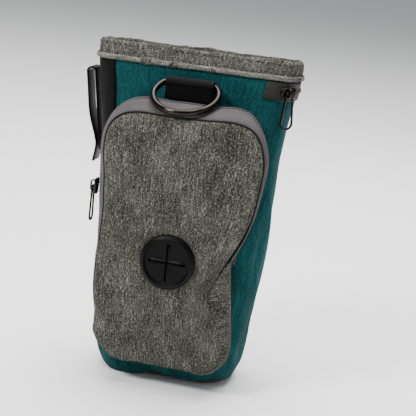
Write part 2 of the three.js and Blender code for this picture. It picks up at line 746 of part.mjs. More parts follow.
// A strip of constant width down the bag's end, wrapped further round the front corner than the back one.
function endStrip(side, { wrap, from, to, bottom, top }) {
  const point = (place, z, depth) => {
    const { front, back, radius } = section(z);
    const flat = (back - front) / 2 - radius;
    const along = mix(wrap[0], wrap[1], place);
    const turn = Math.max(0, Math.abs(along) - flat) / radius;
    const reach = Math.min(Math.abs(along), flat) + (radius - depth) * Math.sin(turn);
    const x = section(z).half - radius + (radius - depth) * Math.cos(turn);
    return new THREE.Vector3(side * x, (front + back) / 2 + Math.sign(along) * reach, z);
  };
  const places = Array.from({ length: 13 }, (_, i) => i / 12);
  return gridPanel(stops([bottom, top]), places, [from, to], point);
}

place('side_strip', endStrip(-1, STRIP), fabric(COLOURS.webbing));

// The clip is a steel strip bent over at the top, seen here in profile: x outwards, z up.
function ribbon(points, thickness) {
  const shape = new THREE.Shape();
  const normals = points.map((p, i) => {
    const [a, b] = [points[Math.max(0, i - 1)], points[Math.min(points.length - 1, i + 1)]];
    return new THREE.Vector2(b[1] - a[1], a[0] - b[0]).normalize().multiplyScalar(thickness / 2);
  });
  const left = points.map((p, i) => new THREE.Vector2(p[0] + normals[i].x, p[1] + normals[i].y));
  const right = points.map((p, i) => new THREE.Vector2(p[0] - normals[i].x, p[1] - normals[i].y));
  shape.setFromPoints([...left, ...right.reverse()]);
  return shape;
}

function bend(fromDegrees, toDegrees) {
  const points = [];
  for (let i = 0; i <= 5; i++) {
    points.push(arcPoint(-CLIP.bendR, 0, CLIP.bendR, mix(fromDegrees, toDegrees, i / 5)));
  }
  return points;
}

const clip = new THREE.Group();
const clipTop = section(CLIP.top).half - STRIP.to + 2 * GAP + CLIP.steel / 2;
clip.position.set(-clipTop, 0, CLIP.top - CLIP.bendR);
clip.rotation.y = -radians(CLIP.lean);
pouch.add(clip);
const BEND_SPLIT = 3; // degrees left open each side of the bend's top, between the plate and the leg
const platePath = [[0, -CLIP.plateLength], ...bend(0, 90 - BEND_SPLIT)];
const legPath = [...bend(90 + BEND_SPLIT, 180), ...CLIP_LEG];
place('clip_plate', slabAlongY(ribbon(platePath, CLIP.steel), CLIP.width), metal(COLOURS.steel), clip);
place('clip_leg', slabAlongY(ribbon(legPath, CLIP.steel), CLIP.width), metal(COLOURS.steel), clip);
for (const [i, drop] of RIVET.drops.entries()) {
  const head = new THREE.CylinderGeometry(RIVET.topR, RIVET.r, RIVET.height, 12).rotateZ(Math.PI / 2);
  head.translate(-(CLIP.steel + RIVET.height) / 2 - 0.1, 0, -drop);
  place(`clip_rivet_${i + 1}`, mergedClosed(head), metal(COLOURS.bright), clip);
}

// ---- Second zipper ----

// A band on the right end, from an angle towards the front to the back seam; degrees and share.
function zipBand(zRange, depths) {
  const { radius, front, back } = section(ZIP2.z);
  const flat = (back - front) / 2 - radius;
  const turns = [];
  for (let i = 0; i <= 5; i++) turns.push({ angle: mix(-ZIP2_START, 0, i / 5), y: -flat });
  for (let i = 0; i <= 4; i++) turns.push({ angle: mix(0, SEAM_ANGLE, i / 4), y: flat });
  const count = turns.length - 1;
  const point = (u, v, depth) => {
    const z = mix(...zRange, v);
    const { angle, y } = turns[Math.round(u * count)];
    const [r, turned] = [radius - depth, radians(angle)];
    return new THREE.Vector3(section(z).half - radius + r * Math.cos(turned), y + r * Math.sin(turned), z);
  };
  return panel(point, count, 1, depths);
}

const zip2Bands = {
  upper: [ZIP2.z + ZIP2.coilHalf + GAP, ZIP2.z + ZIP2.tapeHalf],
  lower: [ZIP2.z - ZIP2.tapeHalf, ZIP2.z - ZIP2.coilHalf - GAP],
  coil: [ZIP2.z - ZIP2.coilHalf, ZIP2.z + ZIP2.coilHalf],
};

place('side_zip_tape_upper', zipBand(zip2Bands.upper, ZIP2.tape), fabric(COLOURS.tape));
place('side_zip_tape_lower', zipBand(zip2Bands.lower, ZIP2.tape), fabric(COLOURS.tape));
place('side_zip_coil', zipBand(zip2Bands.coil, ZIP2.coil), material(COLOURS.coil, 0.5));
place('rear_zip_tape_upper', wall(1, zip2Bands.upper, ZIP2.tape, 0.97), fabric(COLOURS.tape));
place('rear_zip_tape_lower', wall(1, zip2Bands.lower, ZIP2.tape, 0.97), fabric(COLOURS.tape));
place('rear_zip_coil', wall(1, zip2Bands.coil, ZIP2.coil, 0.97), material(COLOURS.coil, 0.5));

// A folded fabric tab covers the zipper's front end.
function zipTab() {
  const { radius, front, back } = section(ZIP2.z);
  const flat = (back - front) / 2 - radius;
  const point = (u, v, depth) => {
    const angle = radians(mix(...TAB_ARC, u));
    const z = ZIP2.z + ZIP2.tapeHalf * sweep(v);
    const r = radius - depth;
    const x = section(z).half - radius + r * Math.cos(angle);
    return new THREE.Vector3(x, section(z).front - front - flat - r * Math.sin(angle), z);
  };
  return panel(point, 4, 1, TAB_LAYER);
}

place('side_zip_tab', zipTab(), fabric(COLOURS.tape));

// ---- Back wall: pocket, belt loop and piping ----

const REAR_POCKET_Z = [REAR_POCKET.bottom, REAR_POCKET.top];
place('rear_pocket', wall(1, REAR_POCKET_Z, REAR_POCKET.layer, REAR_POCKET.reach), fabric(COLOURS.teal));

// A strap of webbing that stands off the back wall so that a belt passes behind it.
function beltLoop() {
  const { half, bottom, top, stand, thick, foot, rise } = BELT_LOOP;
  const wallAt = (z) => section(z).back - REAR_POCKET.layer[1] + GAP;
  const line = [
    [wallAt(bottom), bottom],
    [wallAt(bottom + foot), bottom + foot],
    [wallAt(bottom + foot + rise) + stand, bottom + foot + rise],
    [wallAt(top - foot - rise) + stand, top - foot - rise],
    [wallAt(top - foot), top - foot],
    [wallAt(top), top],
  ].map(([y, z]) => [y + thick / 2, z]);
  return slabAlongY(ribbon(line, thick), 2 * half).rotateZ(Math.PI / 2).scale(-1, 1, 1);
}

place('belt_loop', facingOut(mergedClosed(beltLoop())), fabric(COLOURS.webbing));

for (const [side, name] of [[-1, 'left'], [1, 'right']]) {
  const reach = side * BACK_PIPING.reach;
  const line = stops(BACK_PIPING.z).map((z) => facePoint(1, reach, z, -PIPING_R - 2 * GAP));
  place(`seam_piping_${name}`, tube(line, PIPING_R, 16), fabric(COLOURS.webbing));
}

// ---- Sliders and pulls ----

// A slider's outer plate, lying in X and Z with its face towards -Y, and wider at its top.
function sliderPlate({ length, width }) {
  const plate = new THREE.Shape();
  plate.moveTo(-width / 2, length / 2);
  plate.lineTo(-width / 3, -length / 2);
  plate.lineTo(width / 3, -length / 2);
  plate.lineTo(width / 2, length / 2);
  plate.closePath();
  return slabAlongY(plate, PLATE_THICK).translate(0, -PLATE_THICK / 2, 0);
}

// The bail over the plate, a bridge in Y and Z.
function sliderBail({ bail }) {
  const [half, lean] = [bail / 2, BAIL.lean];
  const bridge = new THREE.Shape();
  bridge.moveTo(-half, 0);
  bridge.lineTo(lean - half, BAIL.stand);
  bridge.lineTo(half - lean, BAIL.stand);
  bridge.lineTo(half, 0);
  bridge.closePath();
  const eye = new THREE.Path();
  const [low, high] = BAIL.eye;
  eye.moveTo(half - BAIL.wire, low);
  eye.lineTo(half - BAIL.wire - lean / 2, high);
  eye.lineTo(BAIL.wire + lean / 2 - half, high);
  eye.lineTo(BAIL.wire - half, low);
  eye.closePath();
  bridge.holes.push(eye);
  const solid = new THREE.ExtrudeGeometry(bridge, { depth: BAIL.thick, bevelEnabled: false });
  solid.translate(0, 0, -BAIL.thick / 2).rotateY(-Math.PI / 2).rotateZ(Math.PI);
  return solid.translate(0, -BAIL.sunk, 0);
}

// A teardrop of wire that hangs from a bail: its top bar passes through the bail's eye.
function pullLoop({ length, width, wire }) {
  const shape = new THREE.Shape();
  const r = width / 2;
  const barHalf = BAIL.thick / 2 + BAR_CLEAR;
  shape.moveTo(-barHalf - BAR_SHOULDER, wire / 2);
  shape.lineTo(-r, r - length);
  shape.absarc(0, r - length, r, Math.PI, 2 * Math.PI, false);
  shape.lineTo(barHalf + BAR_SHOULDER, wire / 2);
  shape.closePath();
  const eye = new THREE.Path();
  eye.moveTo(-barHalf, -wire / 2);
  eye.lineTo(barHalf, -wire / 2);
  eye.lineTo(r - wire, r - length);
  eye.absarc(0, r - length, r - wire, 0, Math.PI, true);
  eye.closePath();
  shape.holes.push(eye);
  return slabAlongY(shape, wire, 8);
}

// The pocket's slider stands on its crest, part way up the left side.
const crestPoint = (fromEnd) => pocketSide(upperOutline, upperOutline(CREST, 0).length - fromEnd, 1, 0);
const [crestLow, crestHigh] = [crestPoint(1), crestPoint(4)];
const crestShare = (POCKET_SLIDER.z - crestLow.z) / (crestHigh.z - crestLow.z);
const pocketSlider = new THREE.Group();
pocketSlider.position.copy(crestLow.clone().lerp(crestHigh, crestShare));
pocketSlider.position.x -= POCKET_SLIDER.clear;
pocketSlider.rotation.z = -Math.PI / 2;
pouch.add(pocketSlider);
const pocketSliderSolid = join(sliderPlate(POCKET_SLIDER), sliderBail(POCKET_SLIDER));
place('pocket_slider', pocketSliderSolid, metal(COLOURS.steel), pocketSlider);
const pocketPull = place('pocket_pull', pullLoop(POCKET_PULL), metal(COLOURS.steel), pocketSlider);
pocketPull.position.set(0, -PULL_STAND, 0);

// The second zipper's slider lies along it at its front end, and its bail stands across.
const zip2Section = section(ZIP2.z);
const sideSlider = new THREE.Group();
sideSlider.position.set(
  zip2Section.half - zip2Section.radius,
  zip2Section.radius - (zip2Section.back - zip2Section.front) / 2,
  ZIP2.z,
);
sideSlider.rotation.z = radians(90 - SIDE_SLIDER.angle);
pouch.add(sideSlider);
const sideReach = zip2Section.radius + SIDE_SLIDER.clear;
const sideSliderSolid = join(sliderPlate(SIDE_SLIDER).rotateY(Math.PI / 2), sliderBail(SIDE_SLIDER));
place('side_slider', sideSliderSolid, metal(COLOURS.steel), sideSlider).position.set(0, -sideReach, 0);
const sidePull = place('side_pull', pullLoop(SIDE_PULL), metal(COLOURS.steel), sideSlider);
sidePull.position.set(0, -sideReach - PULL_STAND, 0);

export default pouch;
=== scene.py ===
import math

import bmesh
import bpy
import numpy as np
from mathutils import Matrix, Vector, noise


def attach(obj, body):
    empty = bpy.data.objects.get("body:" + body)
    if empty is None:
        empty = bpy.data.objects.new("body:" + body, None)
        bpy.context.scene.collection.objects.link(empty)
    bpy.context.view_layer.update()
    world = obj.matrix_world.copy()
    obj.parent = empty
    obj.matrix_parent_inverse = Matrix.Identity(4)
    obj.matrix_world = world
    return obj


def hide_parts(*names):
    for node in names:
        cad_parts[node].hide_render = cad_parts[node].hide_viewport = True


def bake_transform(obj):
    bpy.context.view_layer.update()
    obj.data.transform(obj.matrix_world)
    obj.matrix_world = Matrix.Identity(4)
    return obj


# A dog treat pouch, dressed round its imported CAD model. Lengths are in millimetres, and meshes are scaled
# to metres when they are made. +Z is up and the front faces -Y.
MM = 0.001
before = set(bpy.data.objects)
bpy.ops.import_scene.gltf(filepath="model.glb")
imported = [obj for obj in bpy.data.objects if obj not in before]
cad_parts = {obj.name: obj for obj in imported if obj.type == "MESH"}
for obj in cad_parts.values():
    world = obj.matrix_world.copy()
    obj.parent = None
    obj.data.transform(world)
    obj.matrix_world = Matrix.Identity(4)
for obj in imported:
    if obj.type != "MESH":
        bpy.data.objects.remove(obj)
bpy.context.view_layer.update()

# ---- Driving dimensions, as in the CAD source ----

# The outside of the bag: height, half width, front face, back face.
SECTIONS = np.array([
    (0, 35, -20, 17), (8, 39, -21.5, 20.5), (22, 41, -22, 22), (45, 42, -22, 22), (65, 42.5, -20.5, 21),
    (95, 44, -17.5, 18), (125, 46.5, -15.5, 15.5), (145, 49, -14, 14), (167.5, 52.8, -12.4, 12.4),
    (177, 53, -6, 6),
])
CUFF_BOTTOM = 167.5
CORNER_SHARE, CORNER_MAX = 0.4, 15
# Pocket outlines: half widths at top and bottom, top, bottom, corner radii at top and bottom.
PANEL_EDGE = (39, 34, 146, 10, 25, 15)
CREST = (43, 36.5, 151.5, 8.5, 30, 17)
ROOT = (38, 33.5, 147, 12, 25, 14)
POCKET_X = 2
POCKET_DEPTH = ((10, 12), (125, 25))  # (height, depth) at its bottom and its top
POCKET_DOME = 3
PANEL_THICK = 1.2
ZIP_END_Z = 77
DISC_X, DISC_Z, DISC_R, SLIT_REACH = 3.5, 73, 14.2, 10
RING_Z, RING_Y, RING_WIRE, RING_BAR, RING_ARC, RING_LEAN = 160, -17.2, 1.7, 27, 16.5, 64
ZIP2_Z = 161.9

# ---- Camera ----

AZIMUTH, ELEVATION, ROLL = (math.radians(a) for a in (11, 13.5, 6.3))
TARGET, DISTANCE, LENS = Vector((12.7, 0, 93.4)), 620, 100.4


def make_camera():
    right = Vector((math.cos(AZIMUTH), math.sin(AZIMUTH), 0))
    flat = math.cos(ELEVATION)
    ahead = Vector((-math.sin(AZIMUTH) * flat, math.cos(AZIMUTH) * flat, -math.sin(ELEVATION)))
    up = right.cross(ahead)
    x = right * math.cos(ROLL) + up * math.sin(ROLL)
    y = up * math.cos(ROLL) - right * math.sin(ROLL)
    data = bpy.data.cameras.new("camera")
    data.lens, data.sensor_width = LENS, 36
    camera = bpy.data.objects.new("camera", data)
    bpy.context.scene.collection.objects.link(camera)
    turned = Matrix((x, y, -ahead)).transposed().to_4x4()
    camera.matrix_world = Matrix.Translation((TARGET - ahead * DISTANCE) * MM) @ turned
    data.clip_start, data.clip_end = 0.01, 20
    bpy.context.scene.camera = camera


make_camera()

# ---- Stage ----


def make_stage():
    """A round pale floor, seamless with a pale surround, and soft studio lamps."""
    bpy.ops.mesh.primitive_circle_add(vertices=96, radius=6, fill_type="NGON")
    floor = bpy.context.object
    floor.name = "floor"
    look = bpy.data.materials.new("floor")
    look.use_nodes = True
    shader = look.node_tree.nodes["Principled BSDF"]
    shader.inputs["Base Color"].default_value = (0.86, 0.86, 0.85, 1)
    shader.inputs["Roughness"].default_value = 0.9
    floor.data.materials.append(look)
    world = bpy.data.worlds.new("studio")
    world.use_nodes = True
    world.node_tree.nodes["Background"].inputs["Color"].default_value = (0.95, 0.97, 1, 1)
    world.node_tree.nodes["Background"].inputs["Strength"].default_value = 0.42
    bpy.context.scene.world = world
    lamps = (
        ("overhead", (0, 200, 1500), 1500, 55),
        ("key", (-380, -520, 640), 220, 8),
        ("fill", (560, -420, 260), 420, 0.7),
        ("back", (120, 560, 620), 360, 2.5),
    )
    for name, place, size, watts in lamps:
        data = bpy.data.lights.new(name, "AREA")
        data.shape, data.size, data.energy = "DISK", size * MM, watts
        lamp = bpy.data.objects.new(name, data)
        bpy.context.scene.collection.objects.link(lamp)
        lamp.location = Vector(place) * MM
        lamp.rotation_euler = (Vector((0, 0, 95)) - Vector(place)).to_track_quat("-Z", "Y").to_euler()


make_stage()

# ---- Materials ----


class Look:
    """A material and shorthand for its nodes."""

    def __init__(self, name, roughness, metallic=0.0, sheen=0.0, specular=0.5):
        self.material = bpy.data.materials.new(name)
        self.material.use_nodes = True
        self.tree = self.material.node_tree
        self.shader = self.tree.nodes["Principled BSDF"]
        self.shader.inputs["Roughness"].default_value = roughness
        self.shader.inputs["Metallic"].default_value = metallic
        self.shader.inputs["Sheen Weight"].default_value = sheen
        self.shader.inputs["Sheen Roughness"].default_value = 0.5
        self.shader.inputs["Specular IOR Level"].default_value = specular
        self.coordinates = self.tree.nodes.new("ShaderNodeTexCoord")
        self.uv = self.coordinates.outputs["UV"]
        self.place = self.scaled(self.coordinates.outputs["Object"], (1 / MM,) * 3)

    def feed(self, socket, value):
        if isinstance(value, bpy.types.NodeSocket):
            self.tree.links.new(value, socket)
        else:
            socket.default_value = value

    def node(self, kind, inputs, **settings):
        made = self.tree.nodes.new(kind)
        for key, value in settings.items():
            setattr(made, key, value)
        for key, value in inputs.items():
            self.feed(made.inputs[key], value)
        return made

    def math(self, operation, a, b=0.0):
        return self.node("ShaderNodeMath", {0: a, 1: b}, operation=operation).outputs[0]

    def scaled(self, coordinates, scale):
        made = self.node("ShaderNodeVectorMath", {0: coordinates, 1: scale}, operation="MULTIPLY")
        return made.outputs[0]

    def noise(self, coordinates, size, detail=2.0, rough=0.55):
        """Noise from 0 to 1 whose cells have this size in millimetres: one number, or one for each axis."""
        sizes = size if hasattr(size, "__len__") else (size,) * 3
        placed = self.scaled(coordinates, [1 / s for s in sizes])
        inputs = {"Vector": placed, "Scale": 1.0, "Detail": detail, "Roughness": rough}
        return self.node("ShaderNodeTexNoise", inputs).outputs["Fac"]

    def waves(self, coordinates, axis, pitch):
        """A sine from -1 to 1 along one axis, one cycle for each pitch."""
        split = self.node("ShaderNodeSeparateXYZ", {0: coordinates})
        return self.math("SINE", self.math("MULTIPLY", split.outputs[axis], 2 * math.pi / pitch))

    def blend(self, share, a, b):
        made = self.node("ShaderNodeMix", {0: share, 2: a, 3: b}, data_type="FLOAT")
        return made.outputs[0]

    def total(self, *weighted):
        """The sum of (value, weight) pairs."""
        added = None
        for value, weight in weighted:
            part = self.math("MULTIPLY", value, weight)
            added = part if added is None else self.math("ADD", added, part)
        return added

    def colour(self, value, *stops):
        """Colours along a value, as (position, red, green, blue)."""
        ramp = self.node("ShaderNodeValToRGB", {0: value}).color_ramp
        while len(ramp.elements) < len(stops):
            ramp.elements.new(0.5)
        for element, (position, *rgb) in zip(ramp.elements, stops):
            element.position, element.color = position, (*rgb, 1)
        node = self.tree.nodes[-1]
        self.feed(self.shader.inputs["Base Color"], node.outputs[0])

    def rough(self, value, low, high):
        made = self.node("ShaderNodeMapRange", {0: value, 3: low, 4: high})
        self.feed(self.shader.inputs["Roughness"], made.outputs[0])

    def bump(self, height, depth):
        """Relief of this depth in millimetres for a height from 0 to 1."""
        made = self.node("ShaderNodeBump", {"Height": height, "Distance": depth * MM, "Strength": 1.0})
        self.feed(self.shader.inputs["Normal"], made.outputs[0])


TWILL = 38  # the slant of the weave's ribs, in degrees


def woven(name, stops, thread, fleck, relief, slub=12, sheen=0.03):
    """A melange cloth: crossed threads of mixed tones, slubs along the warp and soft mottling."""
    look = Look(name, 0.9, sheen=sheen, specular=0.08)
    warp = look.noise(look.uv, (thread, 4 * thread, 1), 2)
    weft = look.noise(look.uv, (3 * thread, thread, 1), 2)
    slant = {0: look.scaled(look.uv, (1, 1, 0)), "Angle": math.radians(TWILL)}
    diagonal = look.node("ShaderNodeVectorRotate", slant, rotation_type="Z_AXIS").outputs[0]
    ribs = look.waves(diagonal, 0, 2.2 * thread)
    over = look.math("MULTIPLY", ribs, look.waves(look.uv, 1, 2 * thread))
    weave = look.blend(look.math("GREATER_THAN", over, 0.0), warp, weft)
    streaks = look.noise(look.uv, (1.4 * thread, slub, 1), 2)
    mottle = look.noise(look.uv, (14, 18, 1), 3)
    tone = look.total((weave, fleck), (streaks, 0.6 * (1 - fleck)), (mottle, 0.4 * (1 - fleck)))
    look.colour(tone, *stops)
    crowns = look.math("ABSOLUTE", over)
    look.bump(look.total((crowns, 0.5), (weave, 0.5)), relief)
    return look.material


def ribbed(name, stops, pitch, relief, roughness=0.8, cross=0.0):
    """Narrow woven goods such as tape and webbing: ribs across their length, with a fine grain."""
    look = Look(name, roughness, sheen=0.02, specular=0.12)
    ribs = look.waves(look.uv, 1, pitch)
    grain = look.noise(look.uv, (0.5, 0.5, 1), 3)
    wear = look.noise(look.uv, (9, 5, 1), 2)
    tone = look.total((ribs, 0.12), (grain, 0.6), (wear, 0.4))
    if cross:
        tone = look.total((tone, 1.0), (look.waves(look.uv, 0, cross), 0.1))
    look.colour(tone, *stops)
    look.bump(look.total((ribs, 0.5), (grain, 0.5)), relief)
    return look.material


def metal(name, base, worn, low, high):
    """Plated metal: tone and gloss vary slightly, and fine scratches cross it."""
    look = Look(name, low, metallic=1.0)
    patches = look.noise(look.place, 6, 4)
    scratches = look.noise(look.place, (0.15, 2.5, 0.15), 2)
    look.colour(look.total((patches, 0.7), (scratches, 0.3)), (0.35, *base), (0.7, *worn))
    look.rough(look.total((patches, 0.5), (scratches, 0.5)), low, high)
    look.bump(scratches, 0.004)
    return look.material


def moulded(name, dark, light, grain, low, high):
    """Moulded rubber or plastic: a fine pebbled skin with dull and rubbed patches."""
    look = Look(name, high, specular=0.09)
    pebbles = look.noise(look.place, grain, 4, 0.7)
    rubbed = look.noise(look.place, 9, 3)
    look.colour(look.total((pebbles, 0.4), (rubbed, 0.6)), (0.35, *dark), (0.75, *light))
    look.rough(rubbed, low, high)
    look.bump(pebbles, 0.05)
    return look.material


TEAL = woven("teal_melange", (
    (0.32, 0.0006, 0.004, 0.005), (0.46, 0.0015, 0.028, 0.031), (0.56, 0.003, 0.055, 0.058),
    (0.72, 0.012, 0.11, 0.11),
), thread=0.45, fleck=0.5, relief=0.10)
GREY = woven("grey_melange", (
    (0.36, 0.001, 0.001, 0.001), (0.45, 0.014, 0.014, 0.0115), (0.54, 0.060, 0.060, 0.050),
    (0.66, 0.25, 0.25, 0.215),
), thread=0.42, fleck=0.62, relief=0.12, slub=9)
# A paler copy of the grey cloth for the cuff's hem: a painted highlight where the ridge catches the light.
HEM_PAINTED_HIGHLIGHT = woven("hem_melange_painted_highlight", (
    (0.36, 0.008, 0.008, 0.007), (0.45, 0.05, 0.048, 0.042), (0.54, 0.12, 0.117, 0.102),
    (0.66, 0.28, 0.275, 0.24),
), thread=0.42, fleck=0.62, relief=0.08, slub=9)
LINING = woven("lining_weave", (
    (0.35, 0.006, 0.007, 0.008), (0.55, 0.02, 0.022, 0.024), (0.75, 0.04, 0.043, 0.046),
), thread=0.3, fleck=0.6, relief=0.05)
TAPE = ribbed("zip_tape", (
    (0.2, 0.03, 0.026, 0.027), (0.55, 0.062, 0.054, 0.056), (0.9, 0.10, 0.09, 0.092),
), pitch=0.8, relief=0.10)
COIL = moulded("zip_coil", (0.05, 0.044, 0.046), (0.10, 0.09, 0.092), 0.4, 0.35, 0.5)
WEBBING = ribbed("webbing", (
    (0.2, 0.0003, 0.0003, 0.0003), (0.6, 0.0012, 0.0012, 0.0013), (0.95, 0.005, 0.005, 0.0055),
), pitch=1.1, relief=0.1, roughness=0.85, cross=2.6)
PIPING = ribbed("edge_piping", (
    (0.2, 0.03, 0.028, 0.024), (0.55, 0.075, 0.07, 0.06), (0.9, 0.14, 0.13, 0.12),
), pitch=0.6, relief=0.1)
# Near-black cord: real piping on the back seams, and painted shade along the groove round the pocket's panel.
DARK_PIPING_AND_GROOVE_SHADE = ribbed("piping_and_groove_shade", ((0.2, 0.001, 0.001, 0.001), (0.9, 0.008, 0.0075, 0.007)), 0.6, 0.1)
RUBBER = moulded("rubber", (0.0003, 0.0003, 0.0003), (0.0012, 0.0012, 0.0012), 0.5, 0.32, 0.5)
# The tab's cloth: a darkened olive grey standing for painted shade under the cuff's overhang.
TAB_PAINTED_SHADE = ribbed("zip_tab", (
    (0.2, 0.006, 0.006, 0.0045), (0.55, 0.018, 0.017, 0.013), (0.9, 0.04, 0.038, 0.03),
), pitch=0.9, relief=0.1)
BOARD = moulded("board", (0.02, 0.02, 0.021), (0.04, 0.04, 0.042), 0.6, 0.4, 0.6)
GUNMETAL = metal("gunmetal", (0.011, 0.009, 0.008), (0.034, 0.027, 0.022), 0.12, 0.26)
BLACK_STEEL = metal("black_steel", (0.004, 0.004, 0.004), (0.012, 0.011, 0.010), 0.4, 0.6)
BRIGHT = metal("bright_steel", (0.42, 0.40, 0.37), (0.6, 0.57, 0.53), 0.2, 0.38)
MAGNET = metal("magnet_plate", (0.25, 0.25, 0.26), (0.4, 0.4, 0.42), 0.3, 0.45)
THREAD = ribbed("thread", ((0.2, 0.01, 0.01, 0.009), (0.9, 0.045, 0.045, 0.04)), 0.3, 0.05)
BLACK_THREAD = ribbed("black_thread", ((0.2, 0.001, 0.001, 0.001), (0.9, 0.006, 0.006, 0.006)), 0.3, 0.05)
TEAL_THREAD = ribbed("teal_thread", ((0.2, 0.004, 0.03, 0.032), (0.9, 0.03, 0.12, 0.12)), 0.3, 0.05)

# ---- Meshes ----


def mesh_piece(name, points, faces, uvs, material):
    """An object from points in millimetres, with one UV pair for each corner of each face."""
    data = bpy.data.meshes.new(name)
    data.from_pydata((np.asarray(points, float) * MM).tolist(), [], [list(map(int, f)) for f in faces])
    data.uv_layers.new(name="UVMap").data.foreach_set("uv", np.asarray(uvs, float).ravel())
    data.polygons.foreach_set("use_smooth", [True] * len(data.polygons))
    data.materials.append(material)
    made = bpy.data.objects.new(name, data)
    bpy.context.scene.collection.objects.link(made)
    return made


def distances(points, axis):
    steps = np.linalg.norm(np.diff(points, axis=axis), axis=2).mean(1 - axis)
    return np.concatenate([[0], np.cumsum(steps)])


def grid(name, points, material, closed=False, uv=None, caps=None):
    """A sheet through rows of points. closed joins its last column to its first, and caps is the ends to
    fill: start, end or both."""
    rows, columns = points.shape[:2]
    wrapped = np.concatenate([points, points[:, :1]], 1) if closed else points
    if uv is None:
        uv = np.stack(np.meshgrid(distances(wrapped, 1), distances(wrapped, 0)), -1)
    i, j = np.meshgrid(range(rows - 1), range(wrapped.shape[1] - 1), indexing="ij")
    corners = ((i, j), (i, j + 1), (i + 1, j + 1), (i + 1, j))
    faces = np.stack([a * columns + b % columns for a, b in corners], -1).reshape(-1, 4).tolist()
    uvs = np.stack([uv[a, b] for a, b in corners], -2).reshape(-1, 2).tolist()
    first, last = range(columns - 1, -1, -1), range((rows - 1) * columns, rows * columns)
    for ring in {"start": [first], "end": [last], "both": [first, last]}.get(caps, []):
        faces.append(list(ring))
        uvs += [[0.0, 0.0]] * columns
    return mesh_piece(name, points.reshape(-1, 3), faces, uvs, material)


def thicken(piece, thickness):
    """Gives a sheet a thickness in millimetres, behind its face."""
    solidify = piece.modifiers.new("solidify", "SOLIDIFY")
    solidify.thickness, solidify.offset = thickness * MM, -1
    return piece


def dress(piece, nodes):
    """Hides the CAD nodes that the piece stands for."""
    if nodes:
        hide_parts(*nodes)
    return piece


def settle(piece, body, slot, *nodes):
    """The piece rides on a body."""
    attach(piece, body)
    return dress(piece, nodes)


def stretch(piece, slot, *nodes):
    """The piece is cloth between the pouch and its back wall; its placement is baked into its mesh, and it is
    attached to no body.
    """
    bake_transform(piece)
    return dress(piece, nodes)


def unit(vectors):
    return vectors / np.maximum(np.linalg.norm(vectors, axis=-1, keepdims=True), 1e-9)


def sweep(name, path, side, outline, material, closed=False):
    """An outline of (across, up) points carried along a path. side is the direction of across."""
    path = np.asarray(path, float)
    if closed:
        ahead = np.roll(path, -1, 0) - np.roll(path, 1, 0)
    else:
        ahead = np.gradient(path, axis=0)
    ahead = unit(ahead)
    side = np.broadcast_to(np.asarray(side, float), path.shape)
    side = unit(side - (side * ahead).sum(-1, keepdims=True) * ahead)
    up = np.cross(side, ahead)
    outline = np.asarray(outline, float)
    points = path[:, None] + side[:, None] * outline[None, :, :1] + up[:, None] * outline[None, :, 1:]
    if closed:
        points = np.concatenate([points, points[:1]])
    points = points[:, ::-1]
    return grid(name, points, material, closed=True, caps=None if closed else "both")


def circle(radius, sides=14):
    angles = np.linspace(0, 2 * math.pi, sides, endpoint=False)
    return np.stack([np.cos(angles), np.sin(angles)], -1) * radius


def rounded(width, thickness, corner, steps=3):
    """A rounded rectangle about the origin."""
    points = []
    for k, (sx, sy) in enumerate(((1, 1), (-1, 1), (-1, -1), (1, -1))):
        for angle in np.radians(90 * k + np.linspace(0, 90, steps + 1)):
            x = sx * (width / 2 - corner) + corner * math.cos(angle)
            points.append((x, sy * (thickness / 2 - corner) + corner * math.sin(angle)))
    return np.array(points)


def smooth_path(points, count):
    """A curve through points, as count points spaced evenly along it."""
    points = np.asarray(points, float)
    padded = np.concatenate([[2 * points[0] - points[1]], points, [2 * points[-1] - points[-2]]])
    dense = []
    for a, b, c, d in zip(padded, padded[1:], padded[2:], padded[3:]):
        for t in np.linspace(0, 1, 12, endpoint=False):
            curve = 2 * b + (c - a) * t + (2 * a - 5 * b + 4 * c - d) * t**2
            dense.append(0.5 * (curve + (3 * b - a - 3 * c + d) * t**3))
    dense.append(points[-1])
    return even(np.array(dense), count)


def lengths(line):
    """The distance along a line to each of its points."""
    return np.concatenate([[0], np.cumsum(np.linalg.norm(np.diff(line, axis=0), axis=1))])


def at(places, along, values):
    """A line's values at places along it, where along holds the place of each value."""
    return np.stack([np.interp(places, along, values[:, k]) for k in range(3)], -1)


def even(points, count):
    """The same line with count points spaced evenly along it."""
    along = lengths(points)
    return at(np.linspace(0, along[-1], count), along, points)


def beads(name, centres, along, out, sizes, material):
    """Many small rounded bodies in one mesh, such as stitches or zipper teeth. sizes are half of each one's
    length, width and height."""
    rings, sides = 5, 8
    lat = np.linspace(-math.pi / 2, math.pi / 2, rings)
    lon = np.linspace(0, 2 * math.pi, sides, endpoint=False)
    ball = np.stack([
        np.repeat(np.sin(lat), sides),
        np.outer(np.cos(lat), np.cos(lon)).ravel(),
        np.outer(np.cos(lat), np.sin(lon)).ravel(),
    ], -1)
    centres, along = np.asarray(centres, float), unit(np.asarray(along, float))
    out = np.asarray(out, float)
    out = unit(out - (out * along).sum(-1, keepdims=True) * along)
    across = np.cross(out, along)
    axes = np.stack([along, across, out], 1) * np.asarray(sizes)[None, :, None]
    points = centres[:, None] + np.einsum("pk,nkd->npd", ball, axes)
    faces = []
    for start in range(0, len(centres) * len(ball), len(ball)):
        for i in range(rings - 1):
            for j in range(sides):
                k = (j + 1) % sides
                a, b = start + i * sides, start + (i + 1) * sides
                faces.append((a + j, b + j, b + k, a + k))
    uvs = [[0.3 * (n % 4), 0.3 * (n // 4 % 5)] for n in range(4 * len(faces))]
    return mesh_piece(name, points.reshape(-1, 3), faces, uvs, material)


STITCH_PITCH = 3
STITCH_LOOK_AHEAD = 0.1


